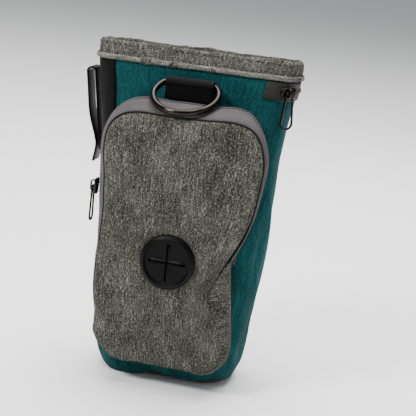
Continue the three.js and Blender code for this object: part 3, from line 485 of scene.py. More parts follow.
def stitches(name, line, out, material, pitch=STITCH_PITCH):
    """A row of stitches along a line on a surface; out is the surface's normal along it."""
    along = lengths(line)
    places = np.arange(pitch / 2, along[-1], pitch)
    centres = at(places, along, line)
    ahead = at(places + STITCH_LOOK_AHEAD, along, line) - centres
    normals = at(places, along, np.broadcast_to(np.asarray(out, float), line.shape))
    keep = np.linalg.norm(ahead, axis=1) > 1e-3
    return beads(name, centres[keep], ahead[keep], normals[keep], (0.36 * pitch, 0.24, 0.2), material)

# ---- The bag's shape ----

FLAT_STEPS = (64, 12, 48, 12)  # columns along the front, right end, back and left end
CORNER_STEPS = 12
SOFTEN = (-4, -2, 0, 2, 4)


def eased(z, heights, values):
    """A soft curve through values at heights."""
    return np.mean([np.interp(z + d, heights, values) for d in SOFTEN], axis=0)


def section(z):
    """Half width, front face, back face and corner radius at heights z, softened between the sections."""
    z = np.asarray(z, float)
    half, front, back = (eased(z, SECTIONS[:, 0], SECTIONS[:, k]) for k in (1, 2, 3))
    return half, front, back, np.minimum(CORNER_MAX, CORNER_SHARE * (back - front))


def outline(z, depth):
    """Rows of points round the bag at heights z, drawn in by depths. Each starts at the front left corner."""
    z = np.asarray(z, float)
    half, front, back, radius = section(z)
    reach = (radius - depth)[:, None]
    arcs = []
    for side, middle, start in (
        (1, front + radius, -90), (1, back - radius, 0), (-1, back - radius, 90), (-1, front + radius, 180),
    ):
        turn = np.radians(start + np.linspace(0, 90, CORNER_STEPS + 1))
        x = (side * (half - radius))[:, None] + reach * np.cos(turn)
        arcs.append(np.stack([x, middle[:, None] + reach * np.sin(turn)], -1))
    parts = []
    for k, count in enumerate(FLAT_STEPS):
        before = arcs[k - 1][:, -1:]
        shares = np.linspace(0, 1, count + 1)[1:-1, None]
        parts += [before + (arcs[k][:, :1] - before) * shares, arcs[k]]
    flat = np.concatenate(parts, 1)
    return np.concatenate([flat, np.broadcast_to(z[:, None, None], (*flat.shape[:2], 1))], -1)


def facing(points, closed=True):
    """Unit normals of a grid of points."""
    if closed:
        across = np.roll(points, -1, 1) - np.roll(points, 1, 1)
    else:
        across = np.gradient(points, axis=1)
    return unit(np.cross(across, np.gradient(points, axis=0)))


def ripple(points, size, seed):
    """Smooth noise from about -1 to 1 at each point, with bumps of this size along each axis."""
    scaled = (points / np.asarray(size, float) + seed * 7.3).reshape(-1, 3)
    return np.array([noise.noise(p) for p in scaled.tolist()]).reshape(points.shape[:2]) * 2


def fold(points, start, end, width, depth):
    """The height at each point of a long fold between two places. A negative depth is a crease."""
    start, end = np.asarray(start, float), np.asarray(end, float)
    run = end - start
    share = np.clip(((points - start) @ run) / (run @ run), 0, 1)
    away = np.linalg.norm(points - start - share[..., None] * run, axis=-1)
    return depth * np.sin(math.pi * (0.1 + 0.8 * share)) * np.exp(-((away / width) ** 2))


def smoothstep(low, high, value):
    share = np.clip((value - low) / (high - low), 0, 1)
    return share * share * (3 - 2 * share)


# Soft folds in the bag's walls: start, end, width, depth.
BAG_FOLDS = (
    ((41, -14, 96), (40, -20, 48), 3.5, 1.6),
    ((43.5, -8, 88), (42.5, -12, 60), 3.2, -2.2),
    ((40, -21, 30), (36, -21, 12), 4, 1.2),
    ((45, 0, 125), (42, 0, 45), 17, 3.2),
    ((44, -11, 112), (45, -3, 84), 3, 1.3),
    ((44, -13, 96), (45, -6, 66), 2.5, -1.5),
    ((42, -12, 66), (43, -2, 44), 3, 1.2),
    ((41, 3, 34), (38, -10, 14), 6, -2.2),
    ((43, 2, 60), (40, 4, 20), 5, -1.0),
    ((-36, -16, 152), (-34, -18, 120), 3.5, 0.9),
    ((-42, -13, 160), (-40, -15, 134), 3, -0.9),
    ((22, -14, 160), (30, -16, 140), 5, -1.3),
    ((37, -14, 164), (34, -16, 138), 4, 1.0),
    ((-12, -13, 166), (-19, -15, 150), 4, -1.0),
    ((-20, 20, 60), (18, 22, 46), 6, -1.2),
    ((-34, 16, 110), (-38, 20, 50), 5, 1.1),
    ((34, 16, 120), (37, 20, 70), 5, -1.1),
)
NOTCH_X, NOTCH_LIFT = -3, 4.5


def bottom_lift(x):
    """How far the front of the base is drawn up: a notch near its middle, and a rise towards each corner."""
    notch = NOTCH_LIFT * np.exp(-(((x - NOTCH_X) / 7) ** 2))
    return notch + 2.4 / (1 + np.exp((4 - x) / 3)) + 6 * smoothstep(16, 38, x) + 5 * smoothstep(28, 40, -x)


def draped(points):
    """The bag's cloth as it hangs: folds, a slight unevenness, seams drawn in and a sagging base."""
    out = facing(points)
    height = 0.55 * ripple(points, (26, 26, 60), 1) + 0.22 * ripple(points, (7, 7, 16), 2)
    for start, end, width, depth in BAG_FOLDS:
        height += fold(points, start, end, width, depth)
    first = FLAT_STEPS[0] - 1 + CORNER_STEPS // 2
    last = points.shape[1] - 1 - CORNER_STEPS // 2
    for column in (first, last):
        height[:, column] -= 0.8
        for side in (-1, 1):
            height[:, column + side] -= 0.15
            height[:, column + 2 * side] += 0.25
    # the cloth lies still against the cuff and the floor
    z = points[..., 2]
    height *= smoothstep(2, 12, z) * (1 - 0.7 * smoothstep(158, 167, z))
    made = points + out * height[..., None]
    front = np.exp(-np.maximum(0, made[..., 1] - section(z)[1]) / 9)
    made[..., 2] += bottom_lift(made[..., 0]) * front * np.exp(-z / 11)
    return made


BASE_ROUND = 3


FLOOR_SHARES = np.array([0.03, 0.25, 0.5, 0.72, 0.88, 1])[:, None, None]


def fill_floor(points):
    """Draws the first rows of a bag in towards their middle, so that they make its floor."""
    rows = len(FLOOR_SHARES)
    middle = points[:rows].mean(1, keepdims=True)
    points[:rows] = middle + (points[:rows] - middle) * FLOOR_SHARES


def bag_shell():
    turn = np.radians(np.linspace(0, 90, 6))[1:]
    wall = np.linspace(BASE_ROUND, CUFF_BOTTOM + 1, 74)[1:]
    heights = np.concatenate([[0] * 6, BASE_ROUND * (1 - np.cos(turn)), wall])
    depths = np.concatenate([[BASE_ROUND] * 6, BASE_ROUND * (1 - np.sin(turn)), 0 * wall])
    points = outline(heights, depths)
    fill_floor(points)
    return stretch(
        thicken(grid("bag_shell", draped(points), TEAL, closed=True, caps="start"), 1.2),
        "teal_fabric", "front_panel", "back_panel", "left_gusset", "right_gusset", "base_panel",
    )


def bag_lining():
    heights = np.concatenate([[3.4] * 6, np.linspace(4, CUFF_BOTTOM + 2, 60)])
    points = outline(heights, np.full(len(heights), 2.1))
    fill_floor(points)
    slack = 0.25 * ripple(points, (9, 9, 18), 4) - 0.25
    points += facing(points) * (slack * smoothstep(8, 30, points[..., 2]))[..., None]
    return stretch(
        thicken(grid("bag_lining", points, LINING, closed=True, caps="start"), 0.5),
        "lining_fabric", "lining_front", "lining_back", "lining_left", "lining_right", "lining_base",
    )


# The cuff's section from its hem over its top to its inner edge, as (depth, height).
CUFF_PROFILE = (
    (0.1, 167.3), (-0.9, 167.1), (-1.7, 167.6), (-1.95, 168.4), (-1.8, 169.2), (-1.25, 169.9),
    (-0.75, 170.15), (-0.85, 170.6), (-1.0, 171.6), (-1.0, 173), (-0.9, 174.4), (-0.7, 175.6),
    (-0.2, 176.5), (0.5, 176.95), (1.3, 176.9), (2.1, 176.4), (2.7, 175.5), (2.9, 174.2),
    (2.9, 172), (2.9, 170), (2.9, 168), (2.5, 167.4),
)


def cuff():
    depths, heights = np.array(CUFF_PROFILE).T
    points = outline(heights, depths)
    out = facing(points)
    folds = 0.35 * ripple(points, (5, 5, 40), 5) + 0.25 * ripple(points, (14, 14, 30), 6)
    outer = (depths < 1)[:, None]
    points += out * (folds * outer)[..., None]
    points[..., 2] += 0.45 * ripple(points * (1, 1, 0), (17, 17, 1), 7) * smoothstep(169, 176, points[..., 2])
    piece = grid("cuff", points, GREY, closed=True)
    return stretch(piece, "grey_fabric", "cuff_front", "cuff_back")


def cuff_stitching():
    """Topstitching above the hem and along the rim."""
    for name, height, depth in (("hem_stitches", 170.15, -0.9), ("rim_stitches", 175.2, -1.05)):
        line = outline([height], np.array([depth]))[0]
        line = np.concatenate([line, line[:1]])
        out = facing(outline([height - 1, height, height + 1], np.full(3, depth)))[1]
        piece = stitches(name, line, np.concatenate([out, out[:1]]), THREAD)
        stretch(piece, "grey_fabric")


def cuff_hem():
    """The turned-up edge of the cuff's cloth, in a paler copy of the grey cloth: a painted highlight along
    its ridge.
    """
    line = outline([168.5], np.array([-1.5]))[0]
    out = facing(outline([167.5, 168.5, 169.5], np.full(3, -1.5)))[1]
    line = line + out * (0.25 * ripple(line[None], (6, 6, 6), 8)[0])[:, None]
    line[:, 2] += 0.25 * ripple(line[None], (9, 9, 9), 9)[0]
    piece = sweep("cuff_hem_cloth", line, out, circle(1, 12) * (0.75, 1.35), HEM_PAINTED_HIGHLIGHT, closed=True)
    stretch(piece, "grey_fabric")


bag_shell()
bag_lining()
cuff()
cuff_stitching()
cuff_hem()

# ---- Front pocket ----


def half_outline(shape, upper, fine=1.0):
    """The right half of a pocket outline in X and Z: from its bottom centre to the zipper's end, or from
    there to its top centre."""
    top_half, bottom_half, top, bottom, top_r, bottom_r = shape
    low, high = bottom + bottom_r, top - top_r
    at_zip = bottom_half + (top_half - bottom_half) * (ZIP_END_Z - low) / (high - low)
    if upper:
        side = np.linspace((at_zip, ZIP_END_Z), (top_half, high), round(18 * fine))[:-1]
        turn = np.radians(np.linspace(0, 90, round(22 * fine)))
        arc = np.stack([top_half - top_r + top_r * np.cos(turn), high + top_r * np.sin(turn)], -1)
        end = np.linspace(arc[-1], (0, top), round(9 * fine))[1:]
        return np.concatenate([side, arc, end])
    start = np.linspace((0, bottom), (bottom_half - bottom_r, bottom), round(12 * fine))[:-1]
    turn = np.radians(np.linspace(-90, 0, round(16 * fine)))
    arc = np.stack([bottom_half - bottom_r + bottom_r * np.cos(turn), low + bottom_r * np.sin(turn)], -1)
    side = np.linspace(arc[-1], (at_zip, ZIP_END_Z), round(24 * fine))[1:]
    return np.concatenate([start, arc, side])


def whole_outline(shape, upper, fine=1.0):
    """The lower part from the left zipper end round to the right one, or the upper part back over the top."""
    right = half_outline(shape, upper, fine)
    left = right * (-1, 1)
    if upper:
        return np.concatenate([right, left[::-1][1:]])
    return np.concatenate([left[::-1], right[1:]])


def pocket_depth(z):
    (low, shallow), (high, deep) = POCKET_DEPTH
    return np.interp(z, (low, high), (shallow, deep))


def bag_front(x, z, clear):
    half, front, _, radius = section(z)
    past = np.maximum(0, np.abs(x) - (half - radius))
    return front + radius - np.sqrt(np.maximum(0, (radius + clear) ** 2 - past**2))


# How far the pocket's right side is drawn in at a few heights, at its panel's edge and at its root.
PINCH_Z = (10, 22, 34, 44, 50, 57, 66, 74, 82, 90, 100, 112, 128, 146)
PINCH_EDGE = (0, 1.5, 3.5, 6, 9.5, 12.5, 10, 7, 3.5, 0, -3, -4.5, -5.5, -6)
PINCH_ROOT = (0, 0, 1.5, 3, 4, 5.2, 6.5, 8, 8.2, 7.6, 6.5, 4, 0, -1)
LEFT_SHIFT = (
    (12, -1), (25, -2.6), (50, -2.4), (72, 0), (92, 1.6), (110, 2.2), (124, 1), (135, -1), (146, -1),
)
CORNER_LIFT = ((18, 5.5), (14, 4.5))  # for the right and left corners: where it begins, and how far
POCKET_FOLDS = (
    ((36, -34, 62), (28, -36, 57), 2.6, -3.2),
    ((37, -26, 66), (31, -33, 60), 1.8, -2.0),
    ((27, -38, 52), (36, -28, 50), 4, 1.6),
    ((33, -32, 46), (34, -30, 28), 3.2, -4.2),
    ((29, -36, 44), (30, -33, 26), 2.2, -1.6),
    ((26, -34, 14), (35, -28, 24), 2.0, -2.2),
    ((-34, -34, 44), (-30, -37, 34), 4, -1.2),
    ((-36, -30, 30), (-34, -34, 22), 3.5, 1.4),
    ((-26, -36, 18), (-14, -37, 40), 6, -0.9),
    ((4, -36, 16), (8, -38, 46), 7, -0.8),
    ((-30, -38, 134), (-36, -38, 112), 4, 0.9),
    ((20, -40, 128), (31, -40, 100), 8, 0.9),
    ((30, -42, 104), (14, -43, 92), 5, -1.3),
    ((22, -42, 88), (12, -43, 58), 4, 1.0),
    ((-24, -41, 92), (-16, -41, 62), 4.5, -1.4),
    ((-30, -40, 84), (-26, -40, 52), 4, 1.1),
    ((14, -40, 54), (26, -37, 40), 4, -1.6),
    ((18, -38, 40), (28, -36, 26), 4.5, 1.3),
    ((16, -44, 138), (34, -42, 131), 3.5, -0.9),
)
POCKET_LIFT = 3.2  # how far its bottom is drawn up


def slumped(points, out, still=None):
    """The pocket's cloth as it slumps, drawn in at its lower right under a bulge with folds round it."""
    x, y, z = points[..., 0], points[..., 1], points[..., 2]
    near = smoothstep(26, 39, -y)
    rooted = (1 - near) * eased(z, PINCH_Z, PINCH_ROOT)
    drawn = (near * eased(z, PINCH_Z, PINCH_EDGE) + rooted) * smoothstep(10, 38, x)
    rooted = rooted * smoothstep(10, 38, x)
    moved = near * eased(z, *zip(*LEFT_SHIFT)) * smoothstep(-10, -36, x)
    height = 0.5 * ripple(points, (20, 20, 34), 11) + 0.2 * ripple(points, (6, 6, 9), 12)
    for start, end, width, depth in POCKET_FOLDS:
        height += fold(points, start, end, width, depth)
    # the cloth stands proud where the bulge ends, and behind it is drawn back
    height += 1.6 * np.exp(-(((z - 84) / 16) ** 2)) * smoothstep(14, 32, x) * smoothstep(30, 38, -y)
    if still is not None:
        height = height * still
    made = points + out * height[..., None]
    made[..., 0] += moved - drawn
    made[..., 1] -= 0.55 * rooted
    made[..., 2] += POCKET_LIFT * (1 - smoothstep(10, 45, z))
    for side, (start, lift) in zip((1, -1), CORNER_LIFT):
        made[..., 2] += lift * smoothstep(start - 4, 36, side * x) * smoothstep(100, 142, z)
    return made


def slump(points, still):
    """A strip of the pocket's side as it slumps, where still scales its folds."""
    return slumped(points, facing(points, closed=False), still)


def pocket_side(upper, bands, fine=1.0):
    """The pocket's side, as a row of points for each band from 2 at its root over 1 at its crest to 0 at its
    panel's edge."""
    flat = [whole_outline(shape, upper, fine) for shape in (PANEL_EDGE, CREST, ROOT)]
    depths = [pocket_depth(flat[0][:, 1]), pocket_depth(flat[1][:, 1]) / 2]
    y = [section(p[:, 1])[1] - depth for p, depth in zip(flat, depths)]
    y.append(bag_front(flat[2][:, 0] + POCKET_X, flat[2][:, 1], 0.3))
    edge, crest, root = (np.stack([p[:, 0] + POCKET_X, a, p[:, 1]], -1) for p, a in zip(flat, y))
    pull = 2 * crest - (edge + root) / 2
    share = (np.asarray(bands, float) / 2)[:, None, None]
    return (1 - share) ** 2 * edge + 2 * share * (1 - share) * pull + share**2 * root


def side_piece(name, upper, bands, material, fine, still=1.0):
    return grid(name, slump(pocket_side(upper, bands, fine), still), material)


SEAT_R = 13.6  # of the hole that the dispenser sits in


def cut_seat(piece):
    """Cuts the round hole that the dispenser sits in; its flange covers the hole's edge."""
    cloth = bmesh.new()
    cloth.from_mesh(piece.data)
    inside = [
        face for face in cloth.faces
        if all(math.hypot(v.co.x / MM - DISC_X, v.co.z / MM - DISC_Z) < SEAT_R for v in face.verts)
    ]
    bmesh.ops.delete(cloth, geom=inside, context="FACES")
    cloth.to_mesh(piece.data)
    cloth.free()


def pocket_panel():
    lower, upper = whole_outline(PANEL_EDGE, False), whole_outline(PANEL_EDGE, True)
    edge = np.concatenate([lower[:-1], upper[:-1]])
    middle = (PANEL_EDGE[2] + PANEL_EDGE[3]) / 2
    shares = np.concatenate([np.linspace(0.03, 0.9, 26), np.linspace(0.915, 1, 9)])[::-1]
    flat = shares[:, None, None] * edge + (1 - shares)[:, None, None] * np.array([0, middle])
    rolled = 1.8 * (1 - np.sqrt(1 - smoothstep(0.93, 1.004, shares) ** 2))
    y = section(flat[..., 1])[1] - pocket_depth(flat[..., 1]) - PANEL_THICK
    y = y - (POCKET_DOME * (1 - shares**2) - rolled)[:, None]
    points = np.stack([flat[..., 0] + POCKET_X, y, flat[..., 1]], -1)
    out = np.broadcast_to((0.0, -1.0, 0.0), points.shape)
    seat = np.hypot(points[..., 0] - DISC_X, points[..., 2] - DISC_Z)
    made = slumped(points, out, smoothstep(DISC_R - 2, DISC_R + 8, seat))
    closed_flat = np.concatenate([flat, flat[:, :1]], 1)
    piece = grid("pocket_panel_cloth", made, GREY, closed=True, uv=closed_flat, caps="end")
    cut_seat(piece)
    return settle(piece, "pouch", "grey_fabric", "pocket_panel")


def bands(low, high, steps):
    return np.linspace(high, low, steps)


TAPE_BANDS = (("front", bands(0.0, 0.96, 8)), ("rear", bands(1.04, 2.0, 9)))
TEETH_PITCH, TOOTH = 1.55, (1.15, 0.5, 0.5)  # a tooth is half its length, width and height


def zipper():
    """Both tapes of the pocket's zipper and a row of teeth on each."""
    for name, across in TAPE_BANDS:
        piece = thicken(side_piece(f"zip_tape_{name}_cloth", True, across, TAPE, 1.6, 0.5), 0.7)
        settle(piece, "pouch", "zip_tape", f"zip_tape_{name}")
    lines = slump(pocket_side(True, bands(0.88, 1.12, 7), 3), 0.5)
    out = facing(lines, closed=False)
    for name, row, shift in (("front", 4, 0.25), ("rear", 2, -0.25)):
        along = lengths(lines[row])
        places = np.arange(0.8 + shift, along[-1] - 0.5, TEETH_PITCH)
        across = at(places, along, lines[2] - lines[4])
        normals = at(places, along, out[row])
        centres = at(places, along, lines[row]) + normals * 0.15
        piece = beads(f"zip_teeth_{name}", centres, across, normals, TOOTH, COIL)
        settle(piece, "pouch", "zip_coil", f"zip_coil_{name}")


def pocket_trim():
    """A near-black cord laid in the groove round the panel, as painted shade in that groove, and the pale
    piping where the gusset meets the bag.
    """
    # the near-black cord here is painted shade in the groove
    groove = even(slump(pocket_side(True, bands(0, 0.1, 2)), 0.6)[-1], 200) + (0, 0.35, 0)
    piece = sweep("panel_groove_shade_cord", groove, (0, 1, 0), circle(0.5, 8), DARK_PIPING_AND_GROOVE_SHADE)
    settle(piece, "pouch", "webbing")
    points = pocket_side(False, bands(1.9, 2.0, 2))
    root = even(slump(points, 0.8)[0] + facing(points, closed=False)[0] * 0.9, 110)
    piece = sweep("pocket_root_piping", root, (0, 1, 0), circle(1.0, 10), PIPING)
    settle(piece, "pouch", "edge_piping", "pocket_piping")


pocket_panel()
settle(
    thicken(side_piece("pocket_gusset_cloth", False, bands(0.0, 2.0, 22), GREY, 1.5), 0.8),
    "pouch", "grey_fabric", "pocket_gusset",
)
zipper()
pocket_trim()

# ---- Bag dispenser ----

DISC_Y = float(section(DISC_Z)[1] - pocket_depth(DISC_Z) - PANEL_THICK) - POCKET_DOME * 0.995 - 0.3
MEMBRANE_RISE = 1.9
# The bezel's section from the membrane out over its ring to its flange, as (radius, rise).
BEZEL_PROFILE = (
    (11.2, 1.9), (11.45, 2.0), (11.6, 2.5), (11.8, 3.0), (12.1, 3.2), (12.5, 3.2), (12.75, 3.0),
    (12.95, 2.55), (13.5, 2.4), (13.9, 2.2), (14.15, 1.8), (DISC_R, 1.2), (DISC_R, -0.4), (13.6, -0.6),
)


def on_disc(x, z, rise):
    return np.stack([DISC_X + x, np.broadcast_to(DISC_Y - rise, np.shape(x)), DISC_Z + z], -1)


def dispenser_bezel():
    turn = np.linspace(0, 2 * math.pi, 120, endpoint=False)
    cosine, sine = np.cos(turn), np.sin(turn)
    slit = SLIT_REACH / (np.abs(cosine) + np.abs(sine))
    rows = [on_disc(slit * cosine, slit * sine, 0.9)]
    for share in (0, 0.05, 0.4, 0.8):
        radius = slit + (BEZEL_PROFILE[0][0] - slit) * share
        rows.append(on_disc(radius * cosine, radius * sine, MEMBRANE_RISE))
    for radius, rise in BEZEL_PROFILE:
        rows.append(on_disc(radius * cosine, radius * sine, rise))
    piece = grid("dispenser_bezel_rubber", np.array(rows[::-1]), RUBBER, closed=True)
    return settle(piece, "pouch", "rubber", "dispenser_bezel")


def dispenser_flap(number, sx, sz):
    """A quarter of the slit membrane, with a thickened lip along both of its free edges."""
    gap, reach = 0.3, SLIT_REACH + 0.3
    along = np.linspace(0, 1, 26)[:, None]
    across = np.linspace(0, 1, 31)[None, :]
    gap = gap + 0.4 * smoothstep(0.7, 1, along)
    a = gap + along * (1 - across) * (reach - gap)
    b = gap + along * across * (reach - gap)
    near = np.minimum(a, b) - gap
    fade = 1 - smoothstep(0.7, 0.97, along)
    lip = 1.25 * np.exp(-((near / 1.0) ** 2)) * fade
    edge = -0.6 * np.exp(-near / 0.18) * fade
    sag = 0.5 * (1 - along) ** 2
    points = on_disc(sx * a, sz * b, MEMBRANE_RISE - 0.03 + lip + edge - sag)
    if sx * sz > 0:
        points = points[:, ::-1]
    piece = thicken(grid(f"dispenser_flap_{number}_rubber", points, RUBBER), 0.9)
    return settle(piece, f"flap_{number}", "rubber", f"dispenser_flap_{number}")


dispenser_bezel()
for number, (sx, sz) in enumerate(((1, 1), (1, -1), (-1, -1), (-1, 1)), 1):
    dispenser_flap(number, sx, sz)

# ---- D-ring and its loop ----


def ring_point(x, drop):
    """A point of the leaning D-ring: x along its bar, drop down from the bar."""
    lean = math.radians(RING_LEAN)
    return np.stack([x, RING_Y - drop * math.sin(lean), RING_Z - drop * math.cos(lean)], -1)


def softened(path, times):
    """A closed path, spaced evenly and rounded at its corners."""
    path = even(path, 121)[:-1]
    for _ in range(times):
        path = 0.5 * path + 0.25 * (np.roll(path, 1, 0) + np.roll(path, -1, 0))
    return path


def d_ring():
    fall = math.sqrt(RING_ARC**2 - (RING_BAR / 2) ** 2)
    start = math.atan2(fall, RING_BAR / 2)
    turn = np.linspace(math.pi + start, -start, 60)
    bow_x, bow_drop = RING_ARC * np.cos(turn), fall + RING_ARC * np.sin(turn)
    bar = np.linspace(RING_BAR / 2, -RING_BAR / 2, 16)[1:-1]
    path = ring_point(np.concatenate([bow_x, bar]), np.concatenate([bow_drop, 0 * bar]))
    path = softened(np.concatenate([path, path[:1]]), 2)
    lean = math.radians(RING_LEAN)
    side = (0, -math.cos(lean), math.sin(lean))
    piece = sweep("d_ring_metal", path, side, circle(RING_WIRE, 20), GUNMETAL, closed=True)
    return settle(piece, "ring", "dark_metal", "d_ring")


LOOP_WIDTH, LOOP_THICK, LOOP_BORE, LOOP_BOTTOM = 25, 1.2, 2.1, 151.5
TAIL_LENGTH = 8.2


def ring_loop():
    """Webbing folded over the ring's bar; its two tails are sewn together on the bag."""
    middle = LOOP_BORE + LOOP_THICK / 2
    tail = np.linspace(0, 1, 8)
    path = [(0, RING_Y - 1.2 - 0.6 * t, RING_Z - TAIL_LENGTH + TAIL_LENGTH * t) for t in tail[:-1]]
    for turn in np.radians(np.linspace(0, 180, 15)):
        flatter = 1 if math.cos(turn) > 0 else 0.75
        path.append((0, RING_Y - middle * math.cos(turn) * flatter, RING_Z + middle * math.sin(turn)))
    path += [(0, RING_Y + 1.7 + 0.4 * t, RING_Z - TAIL_LENGTH * t) for t in tail[1:]]
    path = even(np.array(path), 46)
    piece = sweep("ring_loop_webbing", path, (1, 0, 0), rounded(LOOP_WIDTH, LOOP_THICK, 0.5), WEBBING)
    settle(piece, "pouch", "webbing", "ring_loop")
    edge, face = LOOP_WIDTH / 2 - 1.6, RING_Y - 2.1
    low, high = LOOP_BOTTOM + 1.6, LOOP_BOTTOM + 5.2
    corners = [(-edge, face, low), (edge, face, low), (edge, face - 0.2, high), (-edge, face - 0.2, high)]
    box = even(np.array(corners + corners[:1]), 60)
    settle(stitches("ring_loop_stitches", box, (0, -1, 0), BLACK_THREAD, 2.2), "pouch", "webbing")


d_ring()
ring_loop()

# ---- Left end: webbing strip and belt clip ----

STRIP_FRONT, STRIP_BACK, STRIP_BOTTOM, STRIP_TOP = 18.5, 10, 62, 167
CLIP_WIDTH, CLIP_STEEL, CLIP_BEND_R, CLIP_LEAN, CLIP_TOP = 11, 0.9, 2.2, 8.2, 161
CLIP_LEG = ((-4.4, -8), (-4.3, -22), (-2.1, -35), (-2.1, -40), (-4.4, -48))
CLIP_PLATE = ((0, -41.6), (0, -20))
RIVET_DROPS = (12, 28)
RIVET_PROFILE = ((2.1, 0), (2.1, 0.25), (1.9, 0.5), (1.4, 0.72), (0.7, 0.84), (0.1, 0.86))


def end_strip():
    """Webbing sewn down the bag's left end, wrapped round its front and back corners."""
    heights = np.linspace(STRIP_BOTTOM, STRIP_TOP, 60)
    half, front, back, radius = section(heights)
    flat = (back - front) / 2 - radius
    reach = radius + 0.9
    rows = []
    for along in np.linspace(-STRIP_FRONT, STRIP_BACK, 31):
        turn = np.maximum(0, abs(along) - flat) / radius
        y = (front + back) / 2 + np.sign(along) * (np.minimum(abs(along), flat) + reach * np.sin(turn))
        rows.append(np.stack([-(half - radius + reach * np.cos(turn)), y, heights], -1))
    points = np.array(rows).transpose(1, 0, 2)[:, ::-1]
    out = facing(points, closed=False)
    points = points + out * (0.35 * ripple(points, (8, 8, 22), 21))[..., None]
    piece = thicken(grid("end_strip_webbing", points, WEBBING), 1.1)
    stretch(piece, "webbing", "side_strip")
    for name, column in (("front", 28), ("back", 2)):
        sewn = stitches(f"strip_stitches_{name}", points[:, column], out[:, column], BLACK_THREAD)
        stretch(sewn, "webbing")


def clip_point(path):
    """Points of the clip from its own profile, x outwards and z up, to the leaning clip's place."""
    top = float(np.interp(CLIP_TOP, SECTIONS[:, 0], SECTIONS[:, 1])) + 1.7 + 0.6 + CLIP_STEEL / 2
    lean = math.radians(-CLIP_LEAN)
    x, z = np.asarray(path, float).T
    turned_x = x * math.cos(lean) + z * math.sin(lean)
    turned_z = z * math.cos(lean) - x * math.sin(lean)
    return np.stack([turned_x - top, 0 * x, turned_z + CLIP_TOP - CLIP_BEND_R], -1)


def clip_bend(start, end):
    turn = np.radians(np.linspace(start, end, 10))
    return [(CLIP_BEND_R * (math.cos(a) - 1), CLIP_BEND_R * math.sin(a)) for a in turn]


def belt_clip():
    """A bent strip of spring steel, riveted on by its plate. Its outer leg has a heel and a flared tip."""
    steel = rounded(CLIP_WIDTH, CLIP_STEEL, 0.3)
    across = np.array((0, 1, 0))
    for name, body, path, count in (
        ("clip_plate", "pouch", (*CLIP_PLATE, *clip_bend(0, 87)), 50),
        ("clip_leg", "clip_leg", (*clip_bend(93, 180), *CLIP_LEG), 70),
    ):
        piece = sweep(f"{name}_steel", smooth_path(clip_point(path), count), across, steel, BLACK_STEEL)
        settle(piece, body, "dark_metal", name)
    turn = np.linspace(0, 2 * math.pi, 24, endpoint=False)[:, None]
    for number, drop in enumerate(RIVET_DROPS, 1):
        seat = clip_point([(-CLIP_STEEL / 2, -drop), (-CLIP_STEEL / 2 - 1, -drop)])
        out = unit(seat[1] - seat[0])
        spokes = np.cos(turn) * across + np.sin(turn) * np.cross(out, across)
        rows = [seat[0] + out * rise + r * spokes for r, rise in RIVET_PROFILE]
        head = np.array(rows)[:, ::-1]
        piece = grid(f"clip_rivet_head_{number}", head, BRIGHT, closed=True, caps="both")
        settle(piece, "pouch", "bright_metal", f"clip_rivet_{number}")


end_strip()
belt_clip()

# ---- Sliders and pulls ----

POCKET_SLIDER_PLACE, POCKET_SLIDER_TURN = (-40.947, -28.356, 103), -90
SIDE_SLIDER_PLACE, SIDE_SLIDER_TURN = (49.212, -12.283, 161.9), 38
PULL_STAND = 2.3  # from the bag to the middle of a pull's wire
# A slider's plate, as (inset from its outline, rise); its outline's power makes it squarer than an ellipse.
PLATE_PROFILE = (
    (0.6, 0), (0.1, 0.1), (0, 0.35), (0, 0.8), (0.15, 1.05), (0.5, 1.2), (1.2, 1.28), (2.4, 1.3),
)
PLATE_POWER = 0.45
PULL_TOP = ((1.75, -0.9), (1.45, -0.15), (1, 0), (0, 0), (-1, 0), (-1.45, -0.15), (-1.75, -0.9))


def turned_to(place, degrees):
    """Carries points from a slider's own frame, which faces -Y, to its place on the bag."""
    angle = math.radians(degrees)
    c, s = math.cos(angle), math.sin(angle)

    def carry(points):
        x, y, z = np.moveaxis(np.asarray(points, float), -1, 0)
        return np.stack([c * x - s * y, s * x + c * y, z], -1) + place

    return carry, np.array((c, s, 0))


def zip_slider(name, place, degrees, length, width, bail, lying):
    """A shield-shaped plate with rolled edges and an arched bail; a lying plate runs across its bail."""
    carry, side = turned_to(place, degrees)
    turn = np.linspace(0, 2 * math.pi, 40, endpoint=False)
    x, z = (np.sign(part) * np.abs(part) ** PLATE_POWER for part in (np.cos(turn), np.sin(turn)))
    x = x * (1 - 0.16 * (1 - z))
    rows = []
    for inset, rise in PLATE_PROFILE:
        across, along = x * (width / 2 - inset), z * (length / 2 - inset)
        if lying:
            across, along = along, -across
        rows.append(np.stack([across, np.full(len(turn), -rise), along], -1))
    plate = grid(name + "_plate", carry(rows), GUNMETAL, closed=True, caps="both")
    half = bail / 2
    climb = [(0, -0.9, half - 0.4), (0, -2.4, half - 0.5), (0, -3.4, half - 1.1)]
    arch = [(0, y, -z) for _, y, z in climb] + [(0, -3.6, 0)] + climb[::-1]
    arch = sweep(name + "_bail", carry(smooth_path(arch, 30)), side, rounded(1.5, 0.8, 0.3), GUNMETAL)
    return plate, arch


def zip_pull(name, place, degrees, length, width, wire):
    """A teardrop of wire that hangs from a slider's bail."""
    carry, side = turned_to(place, degrees)
    r = width / 2 - wire / 2
    turn = np.radians(np.linspace(180, 360, 20))
    low = [(r * math.cos(a), -PULL_STAND, width / 2 - length + r * math.sin(a)) for a in turn]
    top = [(x, -PULL_STAND, z) for x, z in PULL_TOP]
    path = softened(carry(low + top + low[:1]), 1)
    return sweep(name, path, np.cross(side, (0, 0, 1)), circle(wire / 2, 12), GUNMETAL, closed=True)


